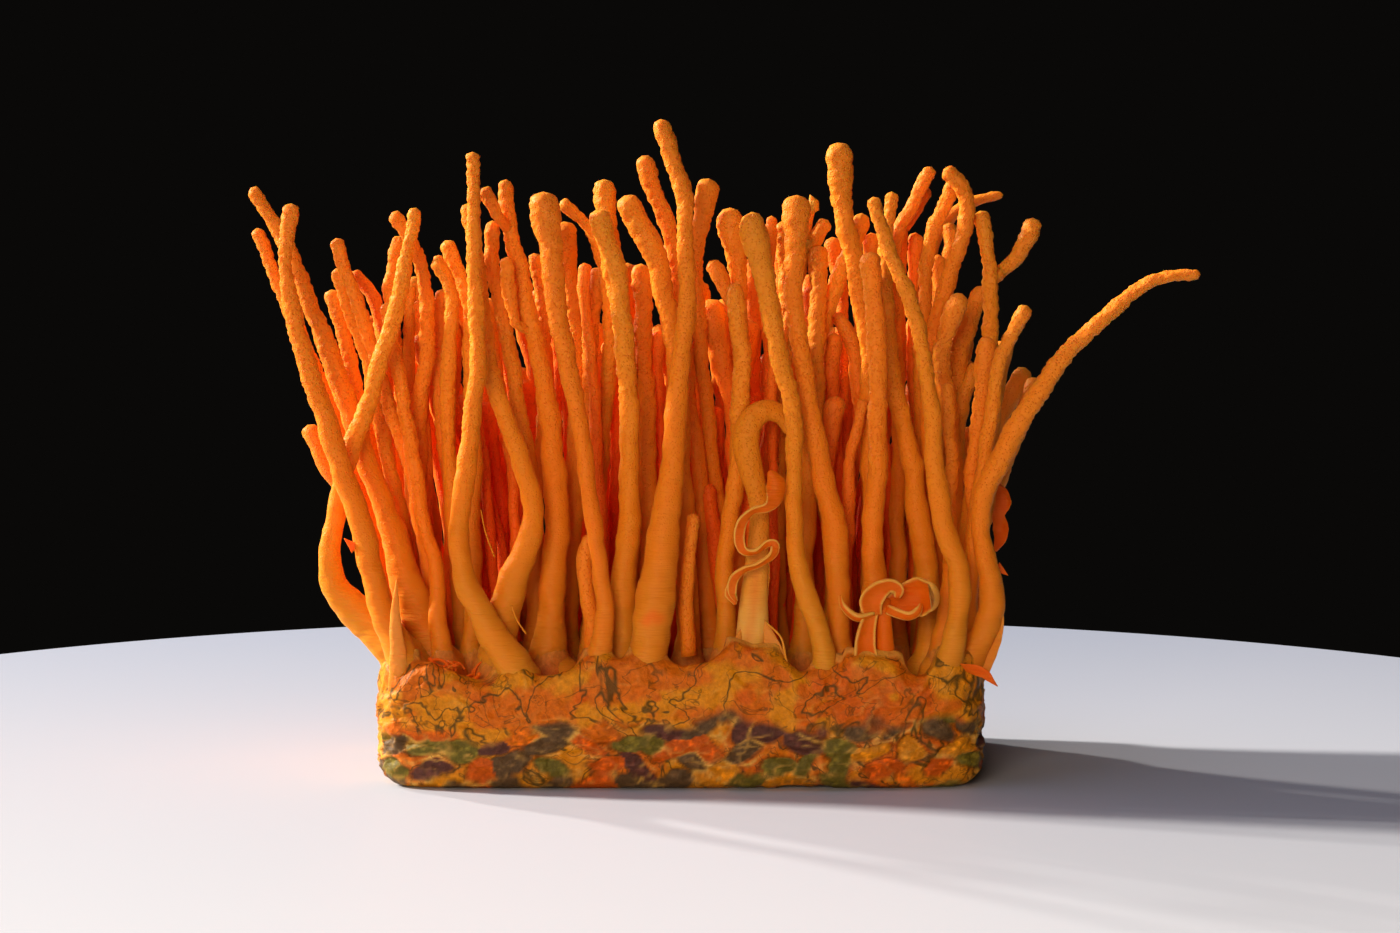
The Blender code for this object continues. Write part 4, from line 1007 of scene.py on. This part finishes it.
def single_clubs(finish, random):
    """The CAD's clubs and branches, a piece each. Gives their lines in one, and their feet."""
    taken, feet, lines = [], [], {}
    clubs = [name for name in sorted(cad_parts) if name.startswith("club_")]
    for index, name in enumerate(clubs):
        line = cad_line(name)
        if line[0, 2] < CAKE_HIGH[2] + FOOT_MARGIN:
            feet.append(line[0])
            line = rooted(line)
        elif name[:7] in lines:
            line = forked(line, lines[name[:7]])
        lines[name] = line
        taken.append(smooth_line(line, ROUTE_STEP))
        line = rounded_tip(smooth_line(line, CLUB_STEP))
        shape = tube_surface(line, CLUB_SIDES, SEED + 17 * index, flat=0.08)
        shape = toned(shape, random.uniform(0, 0.2))
        if name == STAINED_CLUB:
            shape = stained(shape, STAIN, GRID_DEPTH, width=1.3, dip=0.15)
        piece(name + "_flesh", shape, finish, [name])
    return np.concatenate(taken), feet


def front_pieces(pale_flesh, club_flesh):
    """The hooked club, the tendril, the rolled cap and the scraps. Gives the stalks' feet."""
    stalk = toned(sheet_surface(HOOKED_STALK, thick=1.5, seed=301), 0.0)
    stalk[2]["along"] = 0.08 + 0.5 * smoothstep(24, 56, stalk[0][:, 2])
    stalk = stained(stalk, STALK_GROOVE, -24.0, width=0.75, dip=0.3)
    piece("hooked_club_flesh", stalk, pale_flesh, ["hooked_club"])
    ribbon = sheets([TWISTED_RIBBON], 0.4, 311, 0.1) + sheets([RIBBON_FRILL], 0.3, 312, 0.5)
    piece("curly_tendril_flesh", joined(ribbon), pale_flesh, ["curly_tendril"])
    cup = sheets(CUP, 0.55, 320, 0.12)
    piece("rolled_cap_flesh", joined(cup), pale_flesh, ["rolled_cap"])
    webs = [toned(web, 0.45) for web in sheets(WEBS, 0.3, 340, 0.15)]
    webs += [sighted_tube(rows, 360 + index) for index, rows in enumerate(THREADS)]
    piece("foot_webs", joined(webs), pale_flesh)
    flakes = sheets(FLAKES, 0.25, 350, 0.45) + curled_fibres(np.random.default_rng(SEED))
    flakes = [toned(flake, 0.6) for flake in flakes]
    piece("dried_flakes", joined(flakes), club_flesh)
    feet = []
    for rows in HOOKED_STALK, CUP[0], CUP[1]:
        x, depth, z, wide = rows[0][:4]
        place, share = carried_back(x, z, depth)
        feet.append(np.append(place, wide * share))
    return feet


def thickets(taken, finish, random):
    """The small clubs and the crowd, two pieces for each CAD thicket. Gives the crowd's feet."""
    small, taken = small_clubs(taken)
    behind = crowd(taken, random)
    third = (CAKE_HIGH[0] - CAKE_LOW[0]) / 6
    groups = {"thicket_left": [], "thicket_middle": [], "thicket_right": []}
    for index, line in enumerate(small + behind):
        side = "left" if line[0, 0] < -third else "right" if line[0, 0] > third else "middle"
        line = rounded_tip(fine_tip(smooth_line(line, CROWD_STEP)))
        shape = tube_surface(line, CROWD_SIDES, 900 + 13 * index, flat=0.1)
        groups["thicket_" + side].append(with_painted_crowd_shade(shape, random.uniform(0.0, 0.35)))
    for name, parts in groups.items():
        half = len(parts) // 2
        piece(name + "_clubs", joined(parts[:half]), finish, [name])
        piece(name + "_more_clubs", joined(parts[half:]), finish)
    return [line[0] for line in behind]


def build():
    """Everything, from the camera to the cake's skin."""
    random = np.random.default_rng(SEED)
    camera()
    stage()
    stops = [
        (0.0, "#D49026"), (0.12, "#DA8A1E"), (0.34, "#E88818"), (0.7, "#EE9222"), (1.0, "#E69228")]
    # The inner red carries each club's own tone and, deep in the crowd, painted shade.
    club_flesh = flesh("cordyceps_flesh", stops, inner="#FF4400", knob_red=0.5, subsurface=0.5)
    stops = [(0.0, "#E8B458"), (0.2, "#E59A34"), (0.5, "#E28618"), (1.0, "#E88A1C")]
    pale_flesh = flesh(
        "young_cordyceps_flesh", stops, inner="#DE6602", knob_red=0.15, subsurface=0.3)

    taken, feet = single_clubs(club_flesh, random)
    feet += front_pieces(pale_flesh, club_flesh)
    feet += thickets(taken, club_flesh, random)
    skin = cake_skin(np.array(feet), random)
    piece("grain_cake_skin", skin, cake_skin_finish(), ["grain_cake"])


build()
